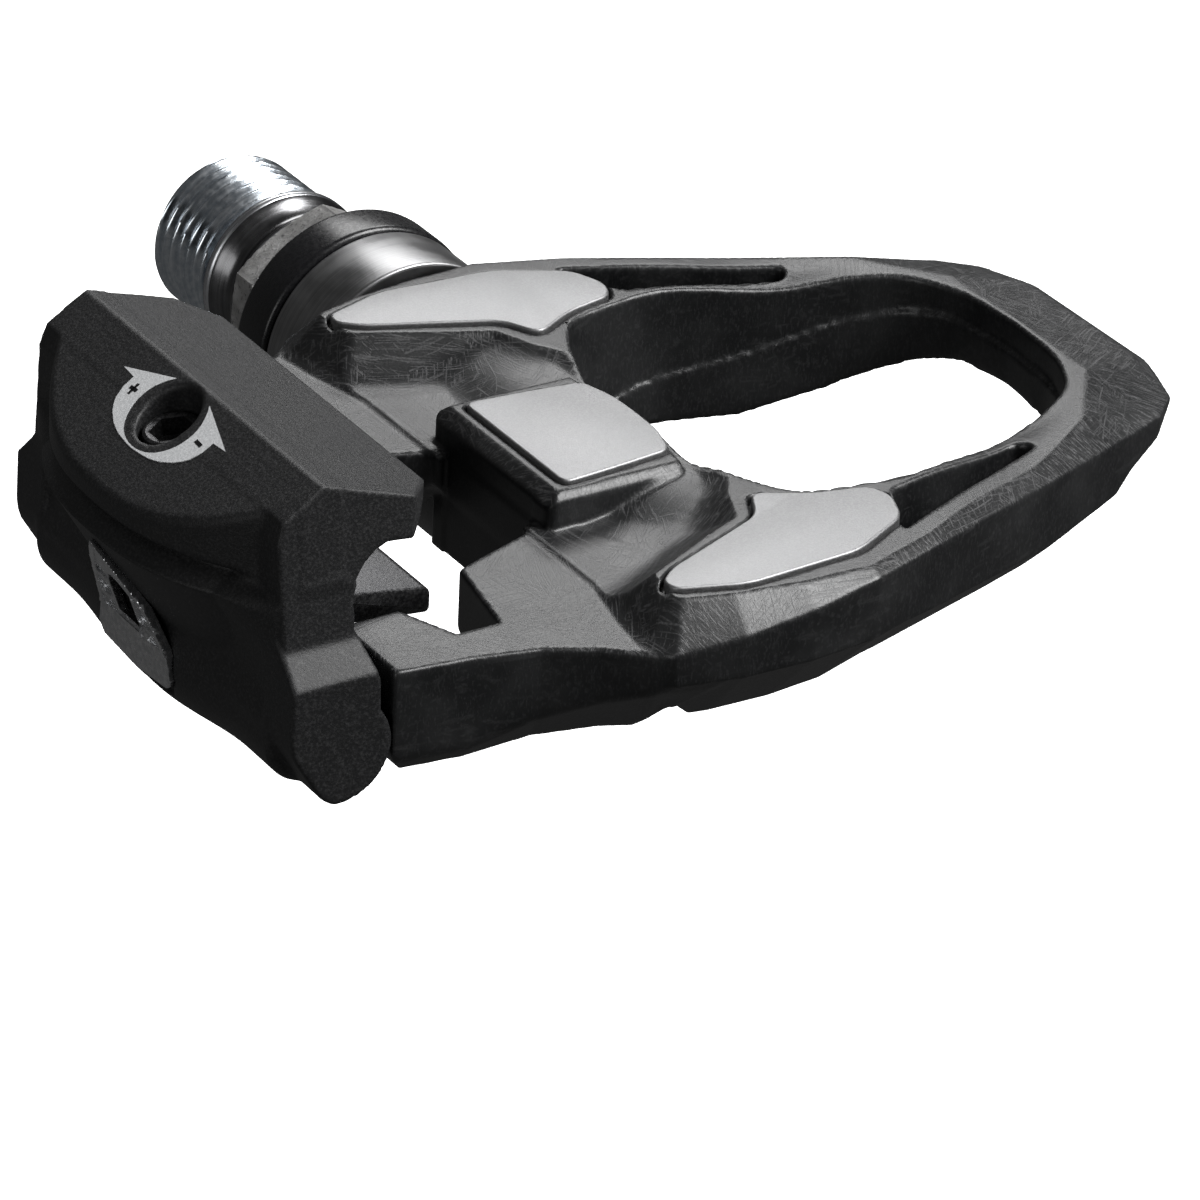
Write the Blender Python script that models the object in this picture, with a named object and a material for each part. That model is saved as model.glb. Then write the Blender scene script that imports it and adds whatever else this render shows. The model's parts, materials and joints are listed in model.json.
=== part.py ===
"""A right-hand road clipless pedal with three steel contact plates and a sprung rear claw.

World units are metres, +Z up, +X towards the toe and +Y towards the crank arm.
The origin is on the spindle axis, at the shoulder that seats against the crank arm.
The sizes below are in millimetres and are measured from the pedal's centre plane,
which lies CRANK_TO_CENTRE outboard of that shoulder. Only put() converts them.
"""
import math

import bmesh
import bpy
from mathutils import Matrix, Vector

MM = 0.001
CRANK_TO_CENTRE = 52.0
GAP = 0.3
ROUND = 32

# Platform
TOP_Z = 10.05
RIDGE_Z = 9.3
SIDE_FOOT_Z = 4.4
UNDER_Z = -1.8
DECK_Z = 6.8
PLATE_THICKNESS = 0.9
PLATE_TOP_Z = 10.35
BLOCK_BACK_X = -11.4
BLOCK_FRONT_X = 1.6
BLOCK_HALF_Y = 8.6
NOSE_X = 45.3

# Claw and its pin
PIN_X = -36.8
PIN_Z = 1.7
PIN_R = 1.5
PIN_HALF_Y = 21.0
BOSS_R = 3.0
BOSS_IN_Y = 13.3
BOSS_OUT_Y = 17.6
EAR_IN_Y = 18.0
EAR_OUT_Y = 21.45
EAR_R = 4.1
LOBE_R = 4.7
CLAW_HALF_Y = 18.5
SPRING_COIL_R = 2.75
SPRING_WIRE_R = 0.6
MOUTH_X = -36.3
SCREW_TILT = math.radians(-12)
SCREW_TOP = (-39.3, 19.75)
SCREW_R = 1.2
NUT_DEPTH = (4.4, 7.0)
NUT_HALF_Y = 7.4
MARKER_LOW = (-40.4, -1.3, 7.0)
MARKER_HIGH = (-39.75, 1.3, 12.2)
WINDOW_HALF_Y = 1.7
WINDOW_Z = (2.8, 7.8)

# Spindle and bearings, as radii
THREAD_R = 7.14
THREAD_PITCH = 1.27
THREAD_TURNS = 7
SPINDLE_R = 5.2
JOURNAL_R = 4.2
SHOULDER_R = 7.5
SLEEVE_R = 6.3
SLEEVE_BORE_R = 5.7
COLLAR_R = 9.95
HOUSING_R = 9.0
SEAL_R = 10.15
RACE_R = 5.4
RACE_BORE_R = 4.9
CONE_R = 3.0
CONE_BORE_R = 2.3
LOCK_NUT_FLATS = 15.8
CONE_NUT_FLATS = 6.6
KEY_FLATS = 8.0
SCREW_KEY_FLATS = 3.0
BALL_R = 0.8
BALL_PITCH_R = 3.83
BALLS = 11
NEEDLES = 18

materials = {}


def material(name, colour, roughness, metallic):
    made = bpy.data.materials.new(name)
    made.use_nodes = True
    shader = made.node_tree.nodes["Principled BSDF"]
    shader.inputs["Base Color"].default_value = (*colour, 1.0)
    shader.inputs["Roughness"].default_value = roughness
    shader.inputs["Metallic"].default_value = metallic
    made.diffuse_color = (*colour, 1.0)
    return made


FINISHES = {
    "composite": ((0.035, 0.036, 0.038), 0.42, 0.0),
    "contact_steel": ((0.60, 0.61, 0.62), 0.38, 1.0),
    "resin": ((0.028, 0.029, 0.030), 0.55, 0.0),
    "bright_steel": ((0.62, 0.64, 0.67), 0.25, 1.0),
    "dark_steel": ((0.10, 0.10, 0.11), 0.35, 1.0),
    "black_resin": ((0.02, 0.02, 0.022), 0.25, 0.0),
    "seal_rubber": ((0.02, 0.02, 0.02), 0.8, 0.0),
    "spring_steel": ((0.35, 0.36, 0.38), 0.35, 1.0),
    "chrome": ((0.75, 0.76, 0.78), 0.12, 1.0),
    "marker": ((0.75, 0.76, 0.74), 0.5, 0.0),
}


def clear_scene():
    for old in list(bpy.data.objects):
        bpy.data.objects.remove(old, do_unlink=True)


def put(name, mesh_data, finish, pivot=(0.0, 0.0, 0.0), smooth=True):
    """Makes the object from a bmesh in millimetres, with its origin at pivot."""
    centre = Vector(pivot)
    for vertex in mesh_data.verts:
        vertex.co = (vertex.co - centre) * MM
    bmesh.ops.recalc_face_normals(mesh_data, faces=mesh_data.faces)
    mesh = bpy.data.meshes.new(name)
    mesh_data.to_mesh(mesh)
    mesh_data.free()
    if smooth:
        mesh.shade_smooth()
        mesh.set_sharp_from_angle(angle=math.radians(32))
    mesh.materials.append(materials[finish])
    made = bpy.data.objects.new(name, mesh)
    made.location = (centre + Vector((0.0, -CRANK_TO_CENTRE, 0.0))) * MM
    bpy.context.collection.objects.link(made)
    return made


def helper(name, mesh_data):
    """A shape that only cuts or joins another one."""
    made = put(name, mesh_data, "resin", smooth=False)
    made.hide_render = True
    made.display_type = "WIRE"
    return made


def combine(target, other, operation):
    step = target.modifiers.new(operation.lower(), "BOOLEAN")
    step.operation = operation
    step.solver = "EXACT"
    step.object = other


def cut(target, *others):
    for other in others:
        combine(target, other, "DIFFERENCE")


def join(target, *others):
    for other in others:
        combine(target, other, "UNION")


def fillet(points, radius, steps=3):
    """Rounds every corner of a closed outline."""
    out = []
    count = len(points)
    for index in range(count):
        here = Vector(points[index])
        before = Vector(points[index - 1]) - here
        after = Vector(points[(index + 1) % count]) - here
        reach = min(radius, 0.45 * before.length, 0.45 * after.length)
        start = here + before.normalized() * reach
        end = here + after.normalized() * reach
        for step in range(steps + 1):
            t = step / steps
            out.append(tuple(start * (1 - t) ** 2 + here * 2 * t * (1 - t) + end * t ** 2))
    return out


def mirrored(half):
    """Closes a half outline, listed toe to heel on the +Y side, across the centre plane."""
    return half + [(x, -y) for x, y in reversed(half) if y > 0.001]


def inset(outline, distance):
    """Moves each point of a closed outline inwards along its corner's bisector."""
    area = sum(a[0] * b[1] - b[0] * a[1] for a, b in zip(outline, outline[1:] + outline[:1]))
    side = 1.0 if area > 0 else -1.0
    out = []
    count = len(outline)
    for index in range(count):
        here = Vector(outline[index])
        one = (here - Vector(outline[index - 1])).normalized()
        two = (Vector(outline[(index + 1) % count]) - here).normalized()
        along = (one + two).normalized()
        out.append(tuple(here + Vector((-along.y, along.x)) * side * distance))
    return out


def stack(levels):
    """A closed solid through outlines with the same number of points, each at its height."""
    made = bmesh.new()
    rings = [[made.verts.new((x, y, z)) for x, y in outline] for outline, z in levels]
    made.faces.new(rings[0])
    made.faces.new(rings[-1])
    count = len(rings[0])
    for low, high in zip(rings, rings[1:]):
        for index in range(count):
            after = (index + 1) % count
            made.faces.new((low[index], low[after], high[after], high[index]))
    return made


def slab(outline, low, high):
    return stack([(outline, low), (outline, high)])


def side_profile(profile, low_y, high_y):
    """Extrudes an outline in X and Z across the pedal."""
    made = bmesh.new()
    rings = [[made.verts.new((x, y, z)) for x, z in profile] for y in (low_y, high_y)]
    made.faces.new(rings[0])
    made.faces.new(rings[1])
    count = len(profile)
    for index in range(count):
        after = (index + 1) % count
        made.faces.new((rings[0][index], rings[0][after], rings[1][after], rings[1][index]))
    return made


def box(low, high):
    return slab([(low[0], low[1]), (high[0], low[1]), (high[0], high[1]), (low[0], high[1])], low[2], high[2])


def turned(profile, segments=ROUND):
    """Turns a closed outline of (radius, height) about Z; points on the axis become one vertex."""
    made = bmesh.new()
    rings = []
    for radius, height in profile:
        if radius < 0.001:
            rings.append([made.verts.new((0.0, 0.0, height))])
            continue
        ring = []
        for step in range(segments):
            angle = 2 * math.pi * step / segments
            ring.append(made.verts.new((radius * math.cos(angle), radius * math.sin(angle), height)))
        rings.append(ring)
    for one, two in zip(rings, rings[1:] + rings[:1]):
        if len(one) == 1 and len(two) == 1:
            continue
        for step in range(segments):
            after = (step + 1) % segments
            corners = [one[step % len(one)], one[after % len(one)], two[after % len(two)], two[step % len(two)]]
            made.faces.new(list(dict.fromkeys(corners)))
    return made


def along_y(mesh_data, x=0.0, z=0.0):
    """Lays a shape turned about Z along the pedal's Y axis, height becoming Y."""
    lay = Matrix(((0, 1, 0, x), (0, 0, 1, 0), (1, 0, 0, z), (0, 0, 0, 1)))
    mesh_data.transform(lay)
    return mesh_data


def along_screw(mesh_data):
    """Puts a shape turned about Z on the tension screw's axis, height 0 at the claw's face."""
    tilt = Matrix.Rotation(SCREW_TILT, 4, "Y")
    mesh_data.transform(Matrix.Translation((SCREW_TOP[0], 0.0, SCREW_TOP[1])) @ tilt)
    return mesh_data


def tube(inner, outer, low_y, high_y, segments=ROUND, x=0.0, z=0.0):
    profile = [(inner, low_y), (outer, low_y), (outer, high_y), (inner, high_y)]
    return along_y(turned(profile, segments), x, z)


def rod(radius, low_y, high_y, segments=ROUND, x=0.0, z=0.0):
    profile = [(0, low_y), (radius, low_y), (radius, high_y), (0, high_y)]
    return along_y(turned(profile, segments), x, z)


def hexagon(across_flats):
    corner = across_flats / math.sqrt(3)
    return [(corner * math.cos(math.pi * k / 3), corner * math.sin(math.pi * k / 3)) for k in range(6)]


def hex_bar(across_flats, low_y, high_y):
    return along_y(slab(hexagon(across_flats), low_y, high_y))


# ---------------------------------------------------------------- outlines seen from above

RIM_HALF = [(NOSE_X, 0), (NOSE_X, 7.4), (43.2, 13.2), (40.4, 15.7), (26.6, 21.4), (11.2, 27.4),
            (4.3, 29.7), (-1.5, 30.3), (-7.5, 30.1), (-13.0, 29.0)]
WING_BACK = [(-14.2, 26.5), (-13.2, 22.6), (-8.0, 17.4), (-3.0, 14.4), (-3.0, 0)]
WINDOW_HALF = [(37.3, 0), (36.8, 6.5), (34.6, 11.0), (30.2, 13.6), (20.9, 16.2), (14.6, 17.9),
               (10.1, 17.3), (5.7, 16.4), (3.2, 12.2), (1.7, 7.4), (2.6, 0)]
SLOT = [(12.3, 19.3), (26.1, 16.2), (26.9, 17.6), (9.6, 25.0)]
WING_PLATE = [(-11.2, 24.0), (-9.6, 22.6), (-3.0, 19.9), (0.6, 18.4), (2.25, 15.1), (6.4, 17.4),
              (10.85, 18.4), (11.6, 20.4), (10.4, 23.6), (4.6, 26.6), (-5.6, 27.2), (-11.0, 25.4)]
CENTRE_PLATE_HALF = [(1.7, 0), (1.6, 3.2), (0.7, 6.4), (-4.6, 7.0), (-9.4, 7.4), (-9.4, 0)]
ARM = [(-9.0, 29.2), (-14.0, 28.0), (-17.2, 25.4), (-21.0, 23.4), (-26.0, 22.2), (-32.2, 21.45),
       (-32.2, 17.4), (-32.2, 13.4), (-27.2, 13.4), (-25.2, 18.3), (-21.6, 18.3), (-20.0, 10.0),
       (-10.0, 6.4), (-6.0, 16.0)]


def flip(outline):
    return [(x, -y) for x, y in outline]


# ---------------------------------------------------------------- the moulded body and its plates

def drawn_in(outline, x_share, y_share):
    """Shrinks an outline towards the platform's middle."""
    middle_x = 10.0
    return [(middle_x + (x - middle_x) * x_share, y * y_share) for x, y in outline]


def platform_ring():
    outline = mirrored(RIM_HALF + WING_BACK)
    foot = drawn_in(outline, 0.92, 0.79)
    crest = drawn_in(outline, 0.975, 0.93)
    return stack([(foot, UNDER_Z), (outline, SIDE_FOOT_Z), (outline, RIDGE_Z), (crest, TOP_Z)])


def nose_cutters():
    over = side_profile([(37.4, TOP_Z), (NOSE_X + 2, 8.2), (NOSE_X + 2, 14), (37.4, 14)], -20, 20)
    under = side_profile([(26.0, UNDER_Z - 0.2), (NOSE_X + 2, 8.1), (NOSE_X + 2, -6), (26.0, -6)], -30, 30)
    return helper("nose_over_cutter", over), helper("nose_under_cutter", under)


def valley_ramp():
    """The floor between the centre block and the wings, rising from the deck to the window's edge."""
    profile = [(-12.5, UNDER_Z), (-12.5, DECK_Z), (-8.5, 7.2), (-4.0, 8.4), (0.0, 9.9), (3.4, 9.9), (1.4, UNDER_Z)]
    return side_profile(profile, -18.0, 18.0)


def boss_outline():
    """A round end about the pin, running forward into the arm."""
    arc = []
    for step in range(13):
        angle = math.pi / 2 + math.pi * step / 12
        arc.append((PIN_X + BOSS_R * math.cos(angle), PIN_Z + BOSS_R * math.sin(angle)))
    return arc + [(-31.0, PIN_Z - BOSS_R), (-31.0, PIN_Z + BOSS_R)]


def pocket_cutter():
    """The open pocket behind the centre block, where the cleat's tail drops in front of the claw."""
    return helper("pocket_cutter", box((-24.0, -6.2, -12.0), (BLOCK_BACK_X, 6.2, 12.0)))


def centre_block():
    half = [(BLOCK_FRONT_X, 0), (BLOCK_FRONT_X - 0.6, BLOCK_HALF_Y), (BLOCK_BACK_X, BLOCK_HALF_Y), (BLOCK_BACK_X, 0)]
    return slab(fillet(mirrored(half), 1.0), UNDER_Z - 1.0, TOP_Z - 0.02)


def axle_housing():
    """The tube around the spindle, flattened where it would close the window."""
    profile = [(0, -20.0), (3.4, -20.0), (8.3, -12.8), (HOUSING_R, 4.0), (HOUSING_R, 28.6), (0, 28.6)]
    made = helper("axle_housing", along_y(turned(profile)))
    flat = [(0.6, TOP_Z - 0.02), (12.0, TOP_Z - 11.4), (12.0, 16.0), (0.6, 16.0)]
    cut(made, helper("flat_cutter", side_profile(flat, -40, 40)))
    return made


def arm(outline):
    return stack([(inset(outline, 1.2), -2.2), (outline, 0.2), (outline, DECK_Z)])


def pedal_body():
    body = put("pedal_body", platform_ring(), "composite")
    join(body, helper("ramp", valley_ramp()), helper("block", centre_block()))
    cut(body, *nose_cutters())
    cut(body, helper("window_cutter", slab(fillet(mirrored(WINDOW_HALF), 1.2, 2), -20, 20)))
    join(body, axle_housing(), helper("arm_inboard", arm(ARM)), helper("arm_outboard", arm(flip(ARM))))
    for side in (-1, 1):
        low, high = sorted((side * BOSS_IN_Y, side * BOSS_OUT_Y))
        join(body, helper("pin_boss", side_profile(boss_outline(), low, high)))
    for outline in (SLOT, flip(SLOT)):
        cut(body, helper("slot_cutter", slab(fillet(outline, 1.0, 2), 2.0, 20)))
    cut(body, pocket_cutter())
    cut(body, helper("axle_bore", rod(SLEEVE_R + GAP, -13.7, 40.0)))
    cut(body, helper("pin_bore", rod(PIN_R + GAP, -30, 30, 24, PIN_X, PIN_Z)))
    seat = PLATE_TOP_Z - PLATE_THICKNESS - GAP
    for name, outline in plate_outlines().items():
        cut(body, helper(name + "_seat", slab(inset(outline, -GAP), seat, 14)))
    return body


def plate_outlines():
    return {
        "centre_plate": fillet(mirrored(CENTRE_PLATE_HALF), 0.9, 3),
        "inboard_wing_plate": fillet(WING_PLATE, 1.2, 2),
        "outboard_wing_plate": fillet(flip(WING_PLATE), 1.2, 2),
    }


def contact_plates():
    low = PLATE_TOP_Z - PLATE_THICKNESS
    for name, outline in plate_outlines().items():
        edge = inset(outline, 0.18)
        levels = [(outline, low), (outline, PLATE_TOP_Z - 0.18), (edge, PLATE_TOP_Z)]
        put(name, stack(levels), "contact_steel", smooth=False)


# ---------------------------------------------------------------- spindle, bearings and seals

def thread_profile():
    """Ring-shaped crests stand for the helical crank thread."""
    root = THREAD_R - 0.6 * THREAD_PITCH
    start = CRANK_TO_CENTRE + 0.9
    points = []
    for turn in range(THREAD_TURNS):
        base = start + turn * THREAD_PITCH
        points += [(root, base), (THREAD_R, base + 0.45 * THREAD_PITCH), (THREAD_R, base + 0.6 * THREAD_PITCH)]
    last = start + THREAD_TURNS * THREAD_PITCH
    return points + [(root, last), (root - 0.5, last + 0.4)]


def spindle():
    shoulder = CRANK_TO_CENTRE
    outer = [(0, -12.1), (1.8, -12.1), (2.0, -11.8), (2.0, 4.5), (3.6, 5.5), (JOURNAL_R, 16.0),
             (JOURNAL_R, 31.0), (SPINDLE_R, 32.0), (SPINDLE_R, 46.8), (SHOULDER_R, 46.9), (7.0, 47.6),
             (6.35, 49.2), (6.6, 50.6), (SHOULDER_R, shoulder - 0.7), (SHOULDER_R, shoulder),
             (THREAD_R + 0.05, shoulder), (6.3, shoulder - 0.4)]
    profile = outer + thread_profile()
    end = profile[-1][1]
    made = put("spindle", along_y(turned(profile + [(0, end)])), "bright_steel")
    cut(made, helper("key_socket", hex_bar(KEY_FLATS, end - 7.0, end + 1.0)))
    return made


def lock_nut():
    full = hexagon(LOCK_NUT_FLATS)
    bore_r = full[0][0] * 0.62
    levels = [(hexagon(LOCK_NUT_FLATS * 0.95), 42.2), (full, 42.9), (full, 45.6),
              (hexagon(LOCK_NUT_FLATS * 0.93), 46.5)]
    made = put("lock_nut", along_y(stack(levels)), "dark_steel")
    cut(made, helper("lock_nut_bore", rod(bore_r, 40, 48)))


def axle_unit():
    """The cartridge that screws into the body from the crank side."""
    put("seal_housing", along_y(turned([(6.9, 37.6), (SEAL_R - 0.3, 37.6), (SEAL_R, 38.0), (SEAL_R, 41.5),
                                        (SEAL_R - 0.3, 41.9), (6.9, 41.9)])), "black_resin")
    put("dust_seal", along_y(turned([(5.5, 38.2), (6.6, 37.9), (6.6, 41.0), (5.9, 41.2), (5.5, 40.2),
                                     (6.0, 39.4)])), "seal_rubber")
    sleeve = [(SLEEVE_BORE_R, -13.2), (SLEEVE_R, -13.2), (SLEEVE_R, 30.4), (COLLAR_R, 30.7), (COLLAR_R, 37.0),
              (COLLAR_R - 0.3, 37.3), (SLEEVE_BORE_R, 37.3)]
    put("bearing_sleeve", along_y(turned(sleeve)), "bright_steel")
    put("outer_race", tube(RACE_BORE_R, RACE_R, -8.1, 4.1), "bright_steel")
    cone = [(CONE_BORE_R, -7.9), (CONE_R - 0.25, -7.9), (CONE_R - 0.25, 3.6), (CONE_R, 4.1), (CONE_BORE_R, 4.1)]
    put("bearing_cone", along_y(turned(cone, 24)), "bright_steel")
    put("keyed_washer", tube(CONE_BORE_R, 4.0, -8.9, -8.2, 24), "bright_steel")
    nut = put("cone_lock_nut", hex_bar(CONE_NUT_FLATS, -11.7, -9.2), "bright_steel")
    cut(nut, helper("cone_nut_bore", rod(CONE_BORE_R, -14, -7, 24)))


def bead_ring(pitch_r, bead_r, wire_r, count, middle_y):
    """Balls held in a light wire cage, as one closed ring whose section swells at each ball."""
    per_ball = 4
    around = count * per_ball
    section = 6
    made = bmesh.new()
    rings = []
    for step in range(around):
        angle = 2 * math.pi * step / around
        nearest = round(step / per_ball) * per_ball
        offset = abs(step - nearest) / around * 2 * math.pi * pitch_r
        size = math.sqrt(max(bead_r ** 2 - offset ** 2, wire_r ** 2))
        ring = []
        for part in range(section):
            turn = 2 * math.pi * part / section
            radius = pitch_r + size * math.cos(turn)
            ring.append(made.verts.new((radius * math.sin(angle), middle_y + size * math.sin(turn),
                                        radius * math.cos(angle))))
        rings.append(ring)
    for step in range(around):
        one = rings[step]
        two = rings[(step + 1) % around]
        for part in range(section):
            after = (part + 1) % section
            made.faces.new((one[part], one[after], two[after], two[part]))
    return made


def needle_ring():
    """Needles standing side by side round the spindle's journal, as one closed fluted ring."""
    low, high = 17.5, 29.5
    outer = []
    inner = []
    for step in range(NEEDLES * 2):
        angle = math.pi * step / NEEDLES
        flute = 0.25 if step % 2 else 0.0
        outer.append(((5.4 - flute) * math.cos(angle), (5.4 - flute) * math.sin(angle)))
        inner.append(((4.5 + 0.6 * flute) * math.cos(angle), (4.5 + 0.6 * flute) * math.sin(angle)))
    made = bmesh.new()
    rings = [[made.verts.new((x, y, height)) for x, y in edge]
             for edge, height in ((inner, low), (outer, low), (outer, high), (inner, high))]
    for one, two in zip(rings, rings[1:] + rings[:1]):
        for step in range(NEEDLES * 2):
            after = (step + 1) % (NEEDLES * 2)
            made.faces.new((one[step], one[after], two[after], two[step]))
    return made


def rolling_parts():
    for name, middle in (("inboard_ball_ring", 1.5), ("outboard_ball_ring", -5.3)):
        put(name, bead_ring(BALL_PITCH_R, BALL_R, 0.35, BALLS, middle), "bright_steel")
    put("needle_roller_ring", along_y(needle_ring()), "bright_steel")


# ---------------------------------------------------------------- claw, springs and tension adjuster

def claw_hook():
    """The hook over the cleat's tail and the wall that carries it."""
    hook = [(-26.4, 18.1), (-26.4, 16.6), (-27.4, 15.7), (-30.8, 15.9), (-33.2, 14.9), (-34.4, 13.2), (-34.4, 9.6),
            (-40.2, 9.6), (-40.5, 17.6), (-39.9, 19.4), (-36.7, 21.5)]
    return side_profile(hook, -CLAW_HALF_Y, CLAW_HALF_Y)


def hood_outline(front_x, rear_x, half_y):
    """A bow-fronted outline, widest where it meets the hook's wall."""
    shape = [(0.0, 0.0), (0.0, 1.0), (0.40, 0.96), (0.65, 0.77), (0.86, 0.47), (0.97, 0.2), (1.0, 0.0)]
    return mirrored([(front_x + (rear_x - front_x) * t, half_y * w) for t, w in shape])


def hood():
    """The rounded back: a hood over the adjuster, with a face below it that slants in towards the pin."""
    sections = [(-4.0, -36.4, -38.6, 10.0), (-2.0, -36.2, -39.8, 11.5), (3.6, -36.0, -41.5, 12.5),
                (11.9, -36.0, -46.1, 14.5), (14.6, -36.0, -45.6, 17.0), (24.0, -36.0, -45.6, 17.0)]
    return stack([(hood_outline(front, rear, half), z) for z, front, rear, half in sections])


def pin_lobe():
    half = [(0, EAR_OUT_Y), (EAR_R - 0.4, EAR_OUT_Y), (EAR_R, EAR_OUT_Y - 0.4), (EAR_R, EAR_IN_Y), (LOBE_R, 16.0)]
    return along_y(turned([(r, -y) for r, y in half] + list(reversed(half))), PIN_X, PIN_Z)


def ear(side):
    """The side cheek that carries the pin, with a sloping shoulder where it stands out from the hook."""
    outline = [(-39.9, 10.2), (-40.5, 6.9), (-40.8, PIN_Z + 0.3), (-32.8, PIN_Z + 0.3), (-33.2, 6.2), (-34.4, 9.8)]
    low, high = sorted((side * 17.0, side * EAR_OUT_Y))
    made = side_profile(outline, low, high)
    for vertex in made.verts:
        if abs(vertex.co.y) > 20 and vertex.co.z > 9:
            vertex.co.z -= 2.8
    return made


def lip_corner_cutter(side):
    corner = [(-20.0, side * 21.0), (-20.0, side * 12.0), (-26.4, side * 15.0), (-29.3, side * 18.6),
              (-29.3, side * 21.0)]
    return helper("lip_corner_cutter", slab(corner, 12.0, 30.0))


def claw():
    made = put("claw", claw_hook(), "resin", (PIN_X, 0, PIN_Z))
    join(made, helper("hood", hood()), helper("pin_lobe", pin_lobe()), helper("ear", ear(-1)), helper("ear", ear(1)))
    above = [(-26.0, 18.0), (-36.7, 21.5), (-48.0, 14.2), (-48.0, 30), (-20.0, 30), (-20.0, 18.0)]
    cut(made, helper("claw_top_cutter", side_profile(above, -30, 30)), lip_corner_cutter(-1), lip_corner_cutter(1))
    room_r = SPRING_COIL_R + SPRING_WIRE_R + GAP
    room_end = EAR_IN_Y - 0.05
    cut(made, helper("pin_room", rod(room_r, -room_end, room_end, 32, PIN_X, PIN_Z)),
        helper("front_mouth", box((MOUTH_X, -EAR_IN_Y, -12.0), (-20.0, EAR_IN_Y, 8.8))),
        helper("adjuster_room", box((-40.7, -8.6, 3.2), (-35.2, 8.6, 16.2))),
        helper("claw_pin_bore", rod(PIN_R + GAP, -30, 30, 24, PIN_X, PIN_Z)),
        helper("screw_bore", along_screw(turned([(0, -9.0), (2.6, -9.0), (2.6, 3.0), (0, 3.0)], 24))),
        helper("window", box((-50.0, -WINDOW_HALF_Y, WINDOW_Z[0]), (-39.0, WINDOW_HALF_Y, WINDOW_Z[1]))),
        helper("surround_seat", surround_loops(GAP, (-0.5, 3.0))))
    return made


def cleat_guide():
    """The thin ledge in the claw's mouth that lifts the cleat's tail into the hook."""
    profile = [(-34.0, 9.1), (-34.0, 6.4), (-24.3, 5.4), (-24.0, 5.7), (-24.0, 7.3), (-24.3, 7.6)]
    put("cleat_guide", side_profile(profile, -12.6, 12.6), "dark_steel", (PIN_X, 0, PIN_Z), smooth=False)


def spring_path(side):
    """Centre line of a torsion spring: a leg up to the adjuster, the coil, and a short leg forward."""
    turns = 4.25
    per_turn = 14
    pitch = 2 * SPRING_WIRE_R + 0.55
    start = math.pi
    points = [(-SPRING_COIL_R, side * 4.4, 7.4), (-SPRING_COIL_R, side * 4.4, 2.4)]
    for step in range(int(turns * per_turn) + 1):
        angle = 2 * math.pi * step / per_turn
        points.append((SPRING_COIL_R * math.cos(start + angle), side * (4.5 + pitch * step / per_turn),
                       SPRING_COIL_R * math.sin(start + angle)))
    last = points[-1]
    points.append((last[0] + 3.5, last[1], last[2]))
    return points


def torsion_spring(name, side):
    curve = bpy.data.curves.new(name, "CURVE")
    curve.dimensions = "3D"
    curve.bevel_depth = SPRING_WIRE_R * MM
    curve.bevel_resolution = 1
    curve.use_fill_caps = True
    path = spring_path(side)
    line = curve.splines.new("POLY")
    line.points.add(len(path) - 1)
    for point, place in zip(line.points, path):
        point.co = (place[0] * MM, place[1] * MM, place[2] * MM, 1.0)
    curve.materials.append(materials["spring_steel"])
    made = bpy.data.objects.new(name, curve)
    made.location = (PIN_X * MM, -CRANK_TO_CENTRE * MM, PIN_Z * MM)
    bpy.context.collection.objects.link(made)


def hinge_pin():
    put("hinge_pin", rod(PIN_R, -PIN_HALF_Y, PIN_HALF_Y, 24, PIN_X, PIN_Z), "bright_steel", (PIN_X, 0, PIN_Z))


def tension_adjuster():
    """Hex-socket screw, the nut it draws along, and the marker that shows the setting."""
    pivot = (SCREW_TOP[0], 0, SCREW_TOP[1])
    head_r = 2.3
    shape = turned([(0, -8.6), (SCREW_R, -8.6), (SCREW_R, -3.6), (head_r, -3.4), (head_r, -1.2), (0, -1.2)], 24)
    screw = put("tension_screw", along_screw(shape), "dark_steel", pivot)
    cut(screw, helper("screw_socket", along_screw(slab(hexagon(SCREW_KEY_FLATS), -2.9, 0))))
    block = box((-1.95, -NUT_HALF_Y, -NUT_DEPTH[1]), (1.95, NUT_HALF_Y, -NUT_DEPTH[0]))
    nut = put("tension_nut", along_screw(block), "bright_steel", pivot)
    bore_r = SCREW_R + GAP
    cut(nut, helper("nut_bore", along_screw(turned([(0, -9), (bore_r, -9), (bore_r, -3), (0, -3)], 24))))
    put("indicator_marker", box(MARKER_LOW, MARKER_HIGH), "marker", smooth=False)


def surround_loops(grow, depths):
    """Outer and inner edges of the window's surround on the claw's back, at two depths along X."""
    outer = [(0, 10.8), (1.4, 9.4), (2.7, 7.9), (3.9, 6.3), (4.4, 4.4), (4.8, 2.4), (5.0, 0.6), (4.4, -0.2),
             (0, -0.8)]
    inner = [(0, 7.5), (0.6, 7.3), (1.2, 6.9), (1.7, 6.3), (1.7, 5.2), (1.7, 4.2), (1.7, 3.2), (1.5, 3.0),
             (0, 3.0)]
    made = bmesh.new()
    loops = []
    for half, step, depth in ((outer, -grow, depths[0]), (outer, -grow, depths[1]),
                              (inner, grow, depths[1]), (inner, grow, depths[0])):
        loop = inset(half + [(-y, z) for y, z in reversed(half[1:-1])], step)
        loops.append([made.verts.new((back_x(z) - depth, y, z)) for y, z in loop])
    for one, two in zip(loops, loops[1:] + loops[:1]):
        for index in range(len(one)):
            after = (index + 1) % len(one)
            made.faces.new((one[index], one[after], two[after], two[index]))
    return made


def back_x(z):
    """Where the claw's back lies at a height, on the centre plane."""
    heights = (-3.0, 3.0, 6.3, 10.8, 12.0)
    places = (-40.9, -41.7, -42.95, -45.4, -46.0)
    for low, high, start, end in zip(heights, heights[1:], places, places[1:]):
        if z <= high:
            return start + (end - start) * (z - low) / (high - low)
    return places[-1]


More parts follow.
